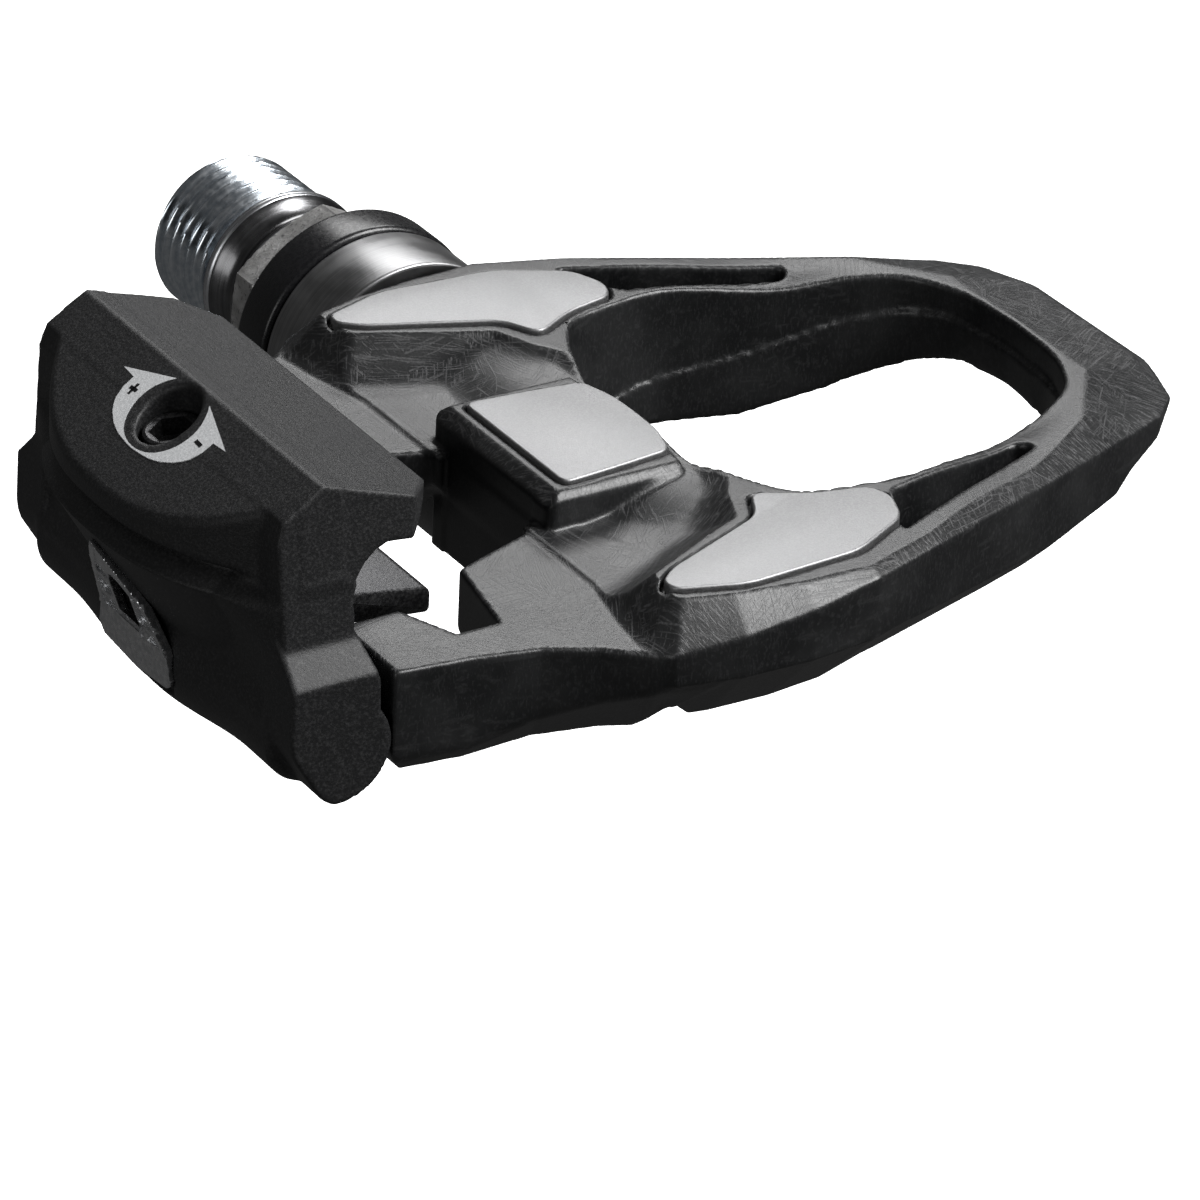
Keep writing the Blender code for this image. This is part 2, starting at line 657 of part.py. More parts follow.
def indicator_frame():
    """Bright shield-shaped surround of the window that shows the tension setting."""
    put("indicator_frame", surround_loops(0.0, (-0.2, 0.5)), "chrome", smooth=False)


# ---------------------------------------------------------------- assembly

def main():
    clear_scene()
    for name, (colour, roughness, metallic) in FINISHES.items():
        materials[name] = material(name, colour, roughness, metallic)
    pedal_body()
    contact_plates()
    spindle()
    lock_nut()
    axle_unit()
    rolling_parts()
    claw()
    cleat_guide()
    hinge_pin()
    for name, side in (("outboard_spring", -1), ("inboard_spring", 1)):
        torsion_spring(name, side)
    tension_adjuster()
    indicator_frame()


main()
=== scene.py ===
"""Looks of a right-hand road clipless pedal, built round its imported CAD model.

Lengths below are in millimetres. The pedal's own axes are +X towards the toe, +Y towards the
crank and +Z up, from the point where the spindle axis meets the pedal's centre plane.
Names ending in HALF list one side of a shape that is the same on both sides of that plane.
"""
import json
import math

import bmesh
import bpy
import numpy as np
from mathutils import Matrix, Vector


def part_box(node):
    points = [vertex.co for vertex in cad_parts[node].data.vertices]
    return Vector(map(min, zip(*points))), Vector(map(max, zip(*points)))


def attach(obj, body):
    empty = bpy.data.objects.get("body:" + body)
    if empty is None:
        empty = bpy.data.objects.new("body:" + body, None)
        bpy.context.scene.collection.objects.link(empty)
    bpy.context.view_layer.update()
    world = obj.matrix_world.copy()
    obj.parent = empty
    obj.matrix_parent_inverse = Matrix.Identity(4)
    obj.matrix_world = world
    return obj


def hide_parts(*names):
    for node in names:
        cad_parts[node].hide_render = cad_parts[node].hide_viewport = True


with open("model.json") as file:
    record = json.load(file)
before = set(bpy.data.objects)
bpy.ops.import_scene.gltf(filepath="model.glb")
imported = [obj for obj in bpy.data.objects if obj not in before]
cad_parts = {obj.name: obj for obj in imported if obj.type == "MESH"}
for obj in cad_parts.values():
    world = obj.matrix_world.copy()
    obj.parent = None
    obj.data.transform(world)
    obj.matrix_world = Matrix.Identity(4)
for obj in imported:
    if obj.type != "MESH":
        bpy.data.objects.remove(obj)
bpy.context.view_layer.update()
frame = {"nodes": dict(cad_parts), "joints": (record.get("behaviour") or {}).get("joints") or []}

MM = 0.001
joints = {joint["name"]: joint for joint in frame["joints"]}
CENTRE_Y = joints["body_spin"]["pos_m"][1] / MM
PIN_X = joints["claw_pivot"]["pos_m"][0] / MM
PIN_Z = joints["claw_pivot"]["pos_m"][2] / MM
SCREW_X = joints["tension_screw_turn"]["pos_m"][0] / MM
SCREW_Z = joints["tension_screw_turn"]["pos_m"][2] / MM
SCREW_AXIS = Vector(joints["tension_screw_turn"]["axis"])


def extent(node):
    """Lowest and highest corner of a CAD node, in millimetres on the pedal's own axes."""
    low, high = (np.array(corner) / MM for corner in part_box(node))
    shift = np.array((0.0, CENTRE_Y, 0.0))
    return low - shift, high - shift


# ---------------------------------------------------------------- distance fields

def polygon(x, y, corners):
    """Signed distance in a plane to a closed outline, negative inside."""
    nearest = np.inf
    inside = False
    for (ax, ay), (bx, by) in zip(corners, corners[1:] + corners[:1]):
        ex, ey = bx - ax, by - ay
        along = np.clip(((x - ax) * ex + (y - ay) * ey) / (ex * ex + ey * ey), 0.0, 1.0)
        gap = (x - ax - ex * along) ** 2 + (y - ay - ey * along) ** 2
        nearest = np.minimum(nearest, gap)
        if ay != by:
            crosses = ((ay > y) != (by > y)) & (x < ax + ex * (y - ay) / ey)
            inside = inside ^ crosses
    return np.sqrt(nearest) * np.where(inside, -1.0, 1.0)


def box_field(x, y, z, low, high):
    sides = [np.maximum(low[k] - c, c - high[k]) for k, c in enumerate((x, y, z))]
    return np.maximum(np.maximum(sides[0], sides[1]), sides[2])


def both(a, b, rounding=0.0):
    """Intersection; rounding is the radius of the outer edge it leaves."""
    if not rounding:
        return np.maximum(a, b)
    u = np.maximum(a + rounding, 0.0)
    v = np.maximum(b + rounding, 0.0)
    return np.minimum(-rounding, np.maximum(a, b)) + np.hypot(u, v)


def either(a, b, fillet=0.0):
    """Union; fillet is the radius of the inner corner it leaves."""
    return -both(-a, -b, fillet)


def without(a, b, rounding=0.0):
    return both(a, -b, rounding)


def soft_max(a, b, width):
    share = np.clip(0.5 + 0.5 * (a - b) / width, 0.0, 1.0)
    return b + (a - b) * share + width * share * (1.0 - share)


def rounded(points, radius, steps=5):
    """Rounds every corner of a closed outline."""
    out = []
    count = len(points)
    for index in range(count):
        here = Vector(points[index])
        before = Vector(points[index - 1]) - here
        after = Vector(points[(index + 1) % count]) - here
        reach = min(radius, 0.48 * before.length, 0.48 * after.length)
        start = here + before.normalized() * reach
        end = here + after.normalized() * reach
        for step in range(steps + 1):
            t = step / steps
            out.append(tuple(start * (1 - t) ** 2 + here * 2 * t * (1 - t) + end * t ** 2))
    return out


def across(half, reach=-12.0):
    """Closes a half outline, listed toe to heel, well past the centre plane."""
    return half + [(half[-1][0], reach), (half[0][0], reach)]


def mirrored(half):
    return half + [(x, -y) for x, y in reversed(half) if y > 0.001]


def flip(outline):
    return [(x, -y) for x, y in outline]


def slope_of(field, points, reach=0.02):
    """Unit normals of a field at many points."""
    total = np.zeros_like(points)
    for corner in ((1, -1, -1), (-1, -1, 1), (-1, 1, -1), (1, 1, 1)):
        shift = np.array(corner, float)
        x, y, z = (points + shift * reach).T
        total += shift * field(x, y, z)[:, None]
    return total / np.maximum(np.linalg.norm(total, axis=1), 1e-9)[:, None]


def contour(field, low, high, step):
    """Meshes a field's zero level by dual contouring, which keeps its creases. Returns points and quads."""
    axes = [np.arange(a, b + step, step) for a, b in zip(low, high)]
    shape = tuple(len(a) for a in axes)
    grid = (axes[0][:, None, None], axes[1][None, :, None], axes[2][None, None, :])
    value = np.broadcast_to(field(*grid), shape)
    inside = value < 0
    strides = np.array((shape[1] * shape[2], shape[2], 1))
    cells, places, normals, quads = [], [], [], []
    for axis in range(3):
        first = [slice(None)] * 3
        second = [slice(None)] * 3
        first[axis] = slice(0, -1)
        second[axis] = slice(1, None)
        crossing = inside[tuple(first)] != inside[tuple(second)]
        index = np.argwhere(crossing)
        one = value[tuple(first)][crossing]
        two = value[tuple(second)][crossing]
        place = np.stack([axes[k][index[:, k]] for k in range(3)], 1)
        place[:, axis] += step * one / (one - two)
        normal = slope_of(field, place)
        u, v = (axis + 1) % 3, (axis + 2) % 3
        corners = []
        for du, dv in ((-1, -1), (0, -1), (0, 0), (-1, 0)):
            cell = index.copy()
            cell[:, u] += du
            cell[:, v] += dv
            corners.append(cell @ strides)
            cells.append(corners[-1])
            places.append(place)
            normals.append(normal)
        quad = np.stack(corners, 1)
        backward = two < 0
        quad[backward] = quad[backward][:, ::-1]
        quads.append(quad)
    cells, owner = np.unique(np.concatenate(cells), return_inverse=True)
    places = np.concatenate(places)
    normals = np.concatenate(normals)
    count = np.bincount(owner)
    middle = np.stack([np.bincount(owner, places[:, k]) / count for k in range(3)], 1)
    offset = np.sum(normals * (places - middle[owner]), axis=1)
    matrix = np.zeros((len(cells), 3, 3))
    target = np.zeros((len(cells), 3))
    for row in range(3):
        target[:, row] = np.bincount(owner, normals[:, row] * offset)
        for column in range(3):
            matrix[:, row, column] = np.bincount(owner, normals[:, row] * normals[:, column])
        matrix[:, row, row] += 0.06 * count
    shift = np.linalg.solve(matrix, target[:, :, None])[:, :, 0]
    length = np.linalg.norm(shift, axis=1)[:, None]
    shift *= np.minimum(1.0, step / np.maximum(length, 1e-9))
    return middle + shift, np.searchsorted(cells, np.concatenate(quads))


# ---------------------------------------------------------------- objects

def piece(name, points, faces, material, body, stands_for=(), smooth_angle=None):
    """A finished mesh from points in millimetres on the pedal's own axes."""
    mesh = bpy.data.meshes.new(name)
    mesh.from_pydata(np.asarray(points, float).tolist(), [], [list(map(int, face)) for face in faces])
    mesh.validate()
    mesh.transform(Matrix.Scale(MM, 4) @ Matrix.Translation((0.0, CENTRE_Y, 0.0)))
    shape = bmesh.new()
    shape.from_mesh(mesh)
    bmesh.ops.recalc_face_normals(shape, faces=shape.faces)
    shape.to_mesh(mesh)
    shape.free()
    mesh.shade_smooth()
    if smooth_angle is not None:
        mesh.set_sharp_from_angle(angle=math.radians(smooth_angle))
    mesh.materials.append(material)
    made = bpy.data.objects.new(name, mesh)
    bpy.context.collection.objects.link(made)
    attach(made, body)
    if stands_for:
        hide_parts(*stands_for)
    return made


def rings_to_faces(rings, around, closed_ends=True):
    """Quads between rings of the same count, with the first and last ring capped."""
    faces = []
    for ring in range(rings - 1):
        for step in range(around):
            after = (step + 1) % around
            low = ring * around
            high = low + around
            faces.append((low + step, low + after, high + after, high + step))
    if closed_ends:
        faces.append(tuple(range(around)))
        faces.append(tuple(range((rings - 1) * around, rings * around)))
    return faces


def turned(rows, around):
    """Points of rings round the spindle axis. Each row is (y, radius), or (y, function of angle)."""
    angle = np.linspace(0.0, 2 * math.pi, around, endpoint=False)
    points = []
    for y, radius in rows:
        size = radius(angle) if callable(radius) else np.full(around, float(radius))
        points += list(zip(size * np.cos(angle), np.full(around, y), size * np.sin(angle)))
    return points


def ring_solid(name, rows, material, body, stands_for=(), around=128, hollow=True, smooth_angle=40):
    """A turned piece. A hollow one joins its last row to its first; a solid one is capped."""
    points = turned(rows, around)
    faces = rings_to_faces(len(rows), around, closed_ends=not hollow)
    if hollow:
        last = (len(rows) - 1) * around
        for step in range(around):
            after = (step + 1) % around
            faces.append((last + step, last + after, after, step))
    return piece(name, points, faces, material, body, stands_for, smooth_angle)


def arc_rows(y, radius, size, start, end, steps=4):
    """A rounded edge of a turned profile about (y, radius), angles from +Y in degrees."""
    rows = []
    for step in range(steps + 1):
        turn = math.radians(start + (end - start) * step / steps)
        rows.append((y + size * math.cos(turn), radius + size * math.sin(turn)))
    return rows


def inset(outline, distance):
    """Moves each point of a closed outline inwards along its corner's bisector."""
    area = sum(a[0] * b[1] - b[0] * a[1] for a, b in zip(outline, outline[1:] + outline[:1]))
    side = 1.0 if area > 0 else -1.0
    out = []
    count = len(outline)
    for index in range(count):
        here = Vector(outline[index])
        one = (here - Vector(outline[index - 1])).normalized()
        two = (Vector(outline[(index + 1) % count]) - here).normalized()
        along = (one + two).normalized()
        out.append(tuple(here + Vector((-along.y, along.x)) * side * distance))
    return out


# ---------------------------------------------------------------- materials

class Nodes:
    """Short ways to add and link the nodes of one procedural material, in millimetre coordinates."""

    def __init__(self, name, roughness, metallic=0.0, specular=0.5, coat=0.0, coat_roughness=0.1):
        self.material = bpy.data.materials.new(name)
        self.material.use_nodes = True
        self.tree = self.material.node_tree
        self.shader = self.tree.nodes["Principled BSDF"]
        self.shader.inputs["Roughness"].default_value = roughness
        self.shader.inputs["Metallic"].default_value = metallic
        self.shader.inputs["Specular IOR Level"].default_value = specular
        self.shader.inputs["Coat Weight"].default_value = coat
        self.shader.inputs["Coat Roughness"].default_value = coat_roughness
        where = self.add("ShaderNodeTexCoord").outputs["Object"]
        self.place = self.scaled(where, (1 / MM, 1 / MM, 1 / MM))

    def add(self, kind, **settings):
        node = self.tree.nodes.new(kind)
        for key, value in settings.items():
            setattr(node, key, value)
        return node

    def link(self, source, target):
        self.tree.links.new(source, target)

    def fill(self, socket, value):
        if hasattr(value, "is_linked"):
            self.link(value, socket)
        else:
            socket.default_value = value

    def scaled(self, vector, factors):
        node = self.add("ShaderNodeVectorMath", operation="MULTIPLY")
        self.link(vector, node.inputs[0])
        node.inputs[1].default_value = factors
        return node.outputs[0]

    def shifted(self, vector, offset, operation="ADD"):
        node = self.add("ShaderNodeVectorMath", operation=operation)
        self.link(vector, node.inputs[0])
        self.fill(node.inputs[1], offset)
        return node.outputs[0]

    def maths(self, operation, one, two=0.0):
        node = self.add("ShaderNodeMath", operation=operation)
        self.fill(node.inputs[0], one)
        self.fill(node.inputs[1], two)
        return node.outputs[0]

    def noise(self, vector, per_mm, detail=3.0, roughness=0.55):
        node = self.add("ShaderNodeTexNoise")
        self.link(vector, node.inputs["Vector"])
        node.inputs["Scale"].default_value = per_mm
        node.inputs["Detail"].default_value = detail
        node.inputs["Roughness"].default_value = roughness
        return node.outputs["Fac"]

    def ramp(self, value, low, high, out_low=0.0, out_high=1.0):
        node = self.add("ShaderNodeMapRange", interpolation_type="SMOOTHSTEP")
        self.link(value, node.inputs["Value"])
        node.inputs["From Min"].default_value = low
        node.inputs["From Max"].default_value = high
        node.inputs["To Min"].default_value = out_low
        node.inputs["To Max"].default_value = out_high
        return node.outputs["Result"]

    def blend(self, factor, one, two):
        node = self.add("ShaderNodeMix", data_type="RGBA")
        self.fill(node.inputs["Factor"], factor)
        for socket, value in ((node.inputs["A"], one), (node.inputs["B"], two)):
            self.fill(socket, value if hasattr(value, "is_linked") else (*value, 1.0))
        return node.outputs["Result"]

    def colour(self, value):
        self.link(value, self.shader.inputs["Base Color"])

    def rough(self, value):
        self.link(value, self.shader.inputs["Roughness"])

    def bump(self, height, depth_mm):
        node = self.add("ShaderNodeBump")
        node.inputs["Strength"].default_value = 1.0
        node.inputs["Distance"].default_value = depth_mm * MM
        self.link(height, node.inputs["Height"])
        self.link(node.outputs["Normal"], self.shader.inputs["Normal"])


def fibre_layer(made, cell_mm, shift, finest):
    """Long hair-like streaks, each patch of them lying its own way."""
    moved = made.shifted(made.place, shift)
    bend = made.add("ShaderNodeTexNoise")
    made.link(moved, bend.inputs["Vector"])
    bend.inputs["Scale"].default_value = 0.2
    bend.inputs["Detail"].default_value = 0.0
    bent = made.shifted(moved, made.scaled(bend.outputs["Color"], (0.8, 0.8, 0.8)))
    patches = made.add("ShaderNodeTexVoronoi", feature="F1")
    made.link(bent, patches.inputs["Vector"])
    patches.inputs["Scale"].default_value = 1.0 / cell_mm
    split = made.add("ShaderNodeSeparateColor")
    made.link(patches.outputs["Color"], split.inputs[0])
    turn = made.add("ShaderNodeVectorRotate", rotation_type="Z_AXIS")
    made.link(bent, turn.inputs["Vector"])
    made.link(made.maths("MULTIPLY", split.outputs[0], 6.0), turn.inputs["Angle"])
    stretched = made.scaled(turn.outputs[0], (0.16, finest, finest * 0.25))
    return made.noise(stretched, 1.0, 1.0, 0.4)


def composite_material():
    """Black moulded composite with short carbon fibres showing as fine grey hairs."""
    made = Nodes("composite_look", 0.42, specular=0.5)
    one = fibre_layer(made, 8.0, (0.0, 0.0, 0.0), 6.5)
    two = fibre_layer(made, 5.5, (31.0, 17.0, 5.0), 9.0)
    three = fibre_layer(made, 6.5, (9.0, 43.0, 27.0), 5.0)
    hairs = made.maths("MAXIMUM", made.ramp(one, 0.54, 0.72), made.ramp(two, 0.55, 0.73))
    hairs = made.maths("MAXIMUM", hairs, made.ramp(three, 0.60, 0.72, 0.0, 0.8))
    cloud = made.ramp(made.noise(made.place, 0.16, 3.0), 0.35, 0.7)
    grain = made.noise(made.place, 5.5, 2.0)
    base = made.blend(cloud, (0.008, 0.0083, 0.0088), (0.020, 0.0205, 0.021))
    # Painted shade: the grey hairs fade on steep faces, so walls come out darker than tops. This also calms
    # the streak dashes cut across the walls.
    facing = made.add("ShaderNodeSeparateXYZ")
    made.link(made.add("ShaderNodeNewGeometry").outputs["Normal"], facing.inputs[0])
    level = made.ramp(made.maths("ABSOLUTE", facing.outputs[2], 0.0), 0.2, 0.9, 0.22, 1.0)
    hairs = made.maths("MULTIPLY", hairs, level)
    speck = made.maths("MULTIPLY", hairs, made.ramp(grain, 0.3, 0.7, 0.35, 1.0))
    made.colour(made.blend(speck, base, (0.08, 0.08, 0.082)))
    roughness = made.ramp(grain, 0.2, 0.8, 0.30, 0.40)
    made.rough(made.maths("ADD", roughness, made.maths("MULTIPLY", hairs, 0.10)))
    height = made.maths("ADD", made.maths("MULTIPLY", hairs, 0.4), made.maths("MULTIPLY", grain, 0.6))
    made.bump(height, 0.014)
    return made.material


def resin_material():
    """Matt black resin with a fine spark-eroded grain."""
    made = Nodes("resin_look", 0.5, specular=0.45)
    grain = made.noise(made.place, 4.5, 3.0, 0.7)
    cloud = made.noise(made.place, 0.2, 2.0)
    made.colour(made.blend(made.ramp(grain, 0.42, 0.78), (0.009, 0.0092, 0.0098), (0.036, 0.036, 0.037)))
    roughness = made.ramp(grain, 0.3, 0.7, 0.42, 0.54)
    made.rough(made.maths("ADD", roughness, made.maths("MULTIPLY", cloud, 0.06)))
    made.bump(grain, 0.045)
    return made.material


def plate_material():
    """Light bead-blasted stainless steel."""
    made = Nodes("contact_steel_look", 0.42, metallic=1.0)
    grain = made.noise(made.place, 7.0, 3.0, 0.7)
    cloud = made.noise(made.place, 0.12, 2.0)
    tone = made.blend(made.ramp(grain, 0.35, 0.68), (0.27, 0.27, 0.274), (0.39, 0.39, 0.394))
    made.colour(made.blend(made.ramp(cloud, 0.4, 0.7, 0.0, 0.25), tone, (0.29, 0.294, 0.298)))
    made.rough(made.ramp(grain, 0.3, 0.7, 0.44, 0.6))
    made.bump(grain, 0.012)
    return made.material


def turned_metal(name, dark, light, roughness, rings_per_mm=9.0, blotch=0.3, coat=0.0):
    """Machined metal whose fine tool marks run round the spindle axis."""
    made = Nodes(name, roughness, metallic=1.0, coat=coat)
    marks = made.noise(made.scaled(made.place, (0.04, rings_per_mm, 0.04)), 1.0, 3.0, 0.6)
    cloud = made.noise(made.place, blotch, 3.0)
    share = made.maths("MULTIPLY", made.maths("ADD", marks, cloud), 0.5)
    made.colour(made.blend(made.ramp(share, 0.35, 0.65), dark, light))
    made.rough(made.ramp(share, 0.3, 0.7, roughness * 0.8, roughness * 1.25))
    made.bump(marks, 0.006)
    return made.material


def forged_material():
    """Dark forged steel of the lock nut, with a pitted oxide skin."""
    made = Nodes("forged_look", 0.42, metallic=0.85)
    pits = made.noise(made.place, 2.6, 4.0, 0.7)
    cloud = made.noise(made.place, 0.5, 3.0)
    skin = made.blend(made.ramp(cloud, 0.35, 0.7), (0.42, 0.415, 0.41), (0.72, 0.715, 0.71))
    made.colour(made.blend(made.ramp(pits, 0.5, 0.75), skin, (0.05, 0.05, 0.05)))
    made.rough(made.ramp(pits, 0.3, 0.7, 0.34, 0.56))
    made.bump(pits, 0.05)
    return made.material


def plain_material(name, dark, light, roughness, metallic=0.0, grain_per_mm=3.0, depth=0.01, coat=0.0):
    """A finish with fine grain and slight colour variation."""
    made = Nodes(name, roughness, metallic=metallic, coat=coat)
    grain = made.noise(made.place, grain_per_mm, 3.0, 0.65)
    made.colour(made.blend(made.ramp(grain, 0.35, 0.7), dark, light))
    made.rough(made.ramp(grain, 0.3, 0.7, roughness * 0.85, roughness * 1.2))
    made.bump(grain, depth)
    return made.material


LOOKS = {
    "composite": composite_material(),
    "resin": resin_material(),
    "contact_steel": plate_material(),
    "bright_steel": turned_metal("bright_steel_look", (0.42, 0.43, 0.45), (0.66, 0.67, 0.69), 0.26),
    "zinc": turned_metal("zinc_look", (0.50, 0.56, 0.62), (0.80, 0.84, 0.88), 0.2, 5.0, 1.6),
    "neck": turned_metal("neck_look", (0.10, 0.10, 0.103), (0.17, 0.17, 0.174), 0.24, 4.0, 0.5, 0.3),
    "sleeve": turned_metal("sleeve_look", (0.22, 0.22, 0.223), (0.33, 0.33, 0.334), 0.34, 7.0),
    "forged": forged_material(),
    "black_resin": plain_material("black_resin_look", (0.006, 0.006, 0.007), (0.010, 0.010, 0.011), 0.28),
    "seal_rubber": plain_material("seal_rubber_look", (0.012, 0.012, 0.012), (0.03, 0.03, 0.03), 0.75,
                                  depth=0.03),
    "spring_steel": plain_material("spring_steel_look", (0.22, 0.23, 0.25), (0.42, 0.43, 0.45), 0.32, 1.0),
    "chrome": plain_material("chrome_look", (0.58, 0.59, 0.60), (0.80, 0.80, 0.81), 0.26, 1.0, 2.0, 0.004),
    "dark_steel": plain_material("dark_steel_look", (0.035, 0.035, 0.037), (0.09, 0.09, 0.092), 0.34, 0.9,
                                 4.0, 0.02),
    "marker": plain_material("marker_look", (0.62, 0.62, 0.60), (0.74, 0.74, 0.72), 0.5, 0.0, 4.0, 0.01),
    "print": plain_material("print_look", (0.55, 0.56, 0.57), (0.72, 0.73, 0.74), 0.5, 0.0, 6.0, 0.02),
}


# ---------------------------------------------------------------- the moulded body

TOP_Z = 10.05
RIDGE_Z = 9.4
DECK_Z = 6.8
UNDER_Z = -1.8
ARM_UNDER_Z = -2.2
SIDE_FOOT_Z = 4.4
TOE_BREAK_X = 37.4
LEDGE_WIDTH = 0.3
BLOCK_BACK_X = extent("centre_plate")[0][0] - 2.0
BLOCK_HALF_Y = 8.6
PLATE_TOP_Z = extent("centre_plate")[1][2]
PLATE_UNDER_Z = extent("centre_plate")[0][2]
NOSE_X = extent("pedal_body")[1][0]
HOUSING_R = 9.0
HOUSING_END_Y = 28.6
SEAT_GAP = 0.3
SLOT_FLOOR_Z = 2.0
POCKET_HALF_Y = 6.2
SPINDLE_ROOM_R = 6.6
SPINDLE_ROOM_END_Y = -13.7
BOSS_R = 3.0
BOSS_INNER_Y = 13.3
BOSS_OUTER_Y = 17.6
PIN_BORE_R = 1.8

RIM_HALF = [(NOSE_X, 0), (NOSE_X, 7.4), (43.2, 13.2), (40.4, 15.7), (26.6, 21.4), (11.2, 27.4),
            (4.3, 29.7), (-1.5, 30.3), (-7.5, 30.1), (-13.0, 29.0)]
BACK_HALF = [(-14.4, 26.5), (-13.8, 22.6), (-12.4, 17.0), (-12.4, 0)]
WINDOW_HALF = [(37.3, 0), (36.8, 6.5), (34.6, 11.0), (30.2, 13.6), (20.9, 16.2), (14.6, 17.9),
               (10.1, 17.3), (5.7, 16.4), (3.2, 12.2), (1.7, 7.4), (2.6, 0)]
PLATEAU = [(-12.4, 25.8), (-10.6, 22.2), (-3.5, 18.8), (-0.4, 17.5), (1.2, 14.0), (3.0, 12.0), (6.0, -12.0),
           (60.0, -12.0), (60.0, 40.0), (-6.0, 40.0), (-12.0, 28.6)]
SLOT = [(12.3, 19.3), (26.1, 16.2), (26.9, 17.6), (9.6, 25.0), (11.2, 22.0)]
ARM = [(-9.0, 29.2), (-14.0, 28.0), (-17.2, 25.4), (-21.0, 23.4), (-26.0, 22.2), (-32.2, 21.45),
       (-32.2, 13.4), (-27.2, 13.4), (-25.2, 18.3), (-21.6, 18.3), (-20.0, 10.0), (-18.3, 9.3),
       (-10.0, 6.4), (-6.0, 16.0)]
WING_PLATE = [(-11.2, 24.0), (-9.6, 22.6), (-3.0, 19.9), (0.6, 18.4), (2.25, 15.1), (6.4, 17.4),
              (10.85, 18.4), (11.6, 20.4), (10.4, 23.6), (4.6, 26.6), (-5.6, 27.2), (-11.0, 25.4)]
CENTRE_PLATE_HALF = [(1.7, 0), (1.6, 3.2), (0.7, 6.4), (-4.6, 7.0), (-9.4, 7.4), (-9.4, 0)]


def ridge_height(x):
    """Height of the crisp ridge that runs along the platform's side."""
    falling_back = RIDGE_Z - 0.155 * np.maximum(4.3 - x, 0.0)
    falling_front = np.maximum(RIDGE_Z - 0.052 * np.maximum(x - 11.2, 0.0), 8.0)
    return np.minimum(falling_back, falling_front)


def top_height(x, v, rim, window):
    """Height of the platform's top: ring, toe facets, wing plateaus and the valleys between them."""
    dip = np.exp(-((x - 25.0) / 6.0) ** 2)
    ring = TOP_Z - dip * (0.45 + 0.55 * np.exp(-(window / 1.8) ** 2))
    toe = TOP_Z - 0.177 * (x - TOE_BREAK_X)
    corner = TOP_Z - 0.297 * (0.770 * (x - TOE_BREAK_X) + 0.638 * (v - 9.5))
    side = ridge_height(x) - np.interp(x, (-10.0, 5.0), (1.05, 0.63)) * rim
    wing = TOP_Z - 1.0 * np.maximum(polygon(x, v, PLATEAU), 0.0)
    climb = np.clip((x + 12.0) / 15.5, 0.0, 1.0)
    valley = DECK_Z + (TOP_Z - DECK_Z) * climb ** 1.9
    upper = soft_max(wing, valley, 1.8)
    return np.minimum(np.minimum(np.minimum(ring, toe), corner), np.minimum(side, upper))


def housing_field(x, y, z):
    """The tube round the spindle, with a cone end and a flat where the window passes."""
    radius = np.hypot(x, z)
    tube = both(radius - HOUSING_R, y - HOUSING_END_Y, 0.4)
    cone = 0.83 * (radius - 3.4) - 0.56 * (y + 20.0)
    tube = both(both(tube, cone, 2.0), -20.0 - y, 1.0)
    return both(tube, 0.707 * (x + z - 10.6), 0.4)


def platform_field(x, v, z, rim, window):
    """Ring, toe and wings in one slab. It draws in below a foot line, and its underside climbs to the toe."""
    foot_z = np.interp(x, (8.0, 26.0, 36.0), (SIDE_FOOT_Z, 2.9, 3.6))
    wall = np.maximum(rim + 0.03 * (9.0 - z), 0.725 * (rim + 0.95 * (foot_z - z)))
    slab = both(wall, 0.85 * (z - top_height(x, v, rim, window)), 0.12)
    under_z = np.interp(x, (22.0, 29.0, 34.0, 37.0, 46.0), (UNDER_Z, -0.1, 2.1, 4.4, 8.2))
    return both(slab, 0.75 * (under_z - z), 0.5)


def arm_field(x, v, z):
    """The two arms that reach back to the claw's pin, drawn in below a sloping foot line."""
    outline = polygon(x, v, ARM)
    foot_z = np.interp(x, (-26.0, -12.0), (-0.6, 4.2))
    arm = both(both(outline, z - DECK_Z, 0.3), 0.77 * (outline + 0.8 * (foot_z - z)), 0.4)
    return both(arm, ARM_UNDER_Z - z, 0.3)


def block_field(x, v, z):
    """The block that carries the centre plate, with a slope along its back and sides."""
    half = [(1.3, 0), (0.7, BLOCK_HALF_Y), (BLOCK_BACK_X, BLOCK_HALF_Y), (BLOCK_BACK_X, 0)]
    block = both(polygon(x, v, rounded(across(half), 0.8)), z - TOP_Z, 0.3)
    block = both(block, UNDER_Z - z)
    back_slope = 0.707 * (BLOCK_BACK_X + 1.1 - x + z - TOP_Z)
    side_slope = 0.707 * (v - BLOCK_HALF_Y + 0.7 + z - TOP_Z)
    return both(block, both(back_slope, side_slope), 0.15)


def pin_boss_field(x, v, z):
    """The bosses that hold the hinge pin, each bridged to its arm."""
    middle = (BOSS_INNER_Y + BOSS_OUTER_Y) / 2
    half_width = (BOSS_OUTER_Y - BOSS_INNER_Y) / 2
    boss = both(np.hypot(x - PIN_X, z - PIN_Z) - BOSS_R, np.abs(v - middle) - half_width, 0.3)
    bridge = box_field(x, v, z, (PIN_X, BOSS_INNER_Y, PIN_Z - BOSS_R),
                       (-31.0, BOSS_OUTER_Y, PIN_Z + BOSS_R))
    return np.minimum(boss, bridge)


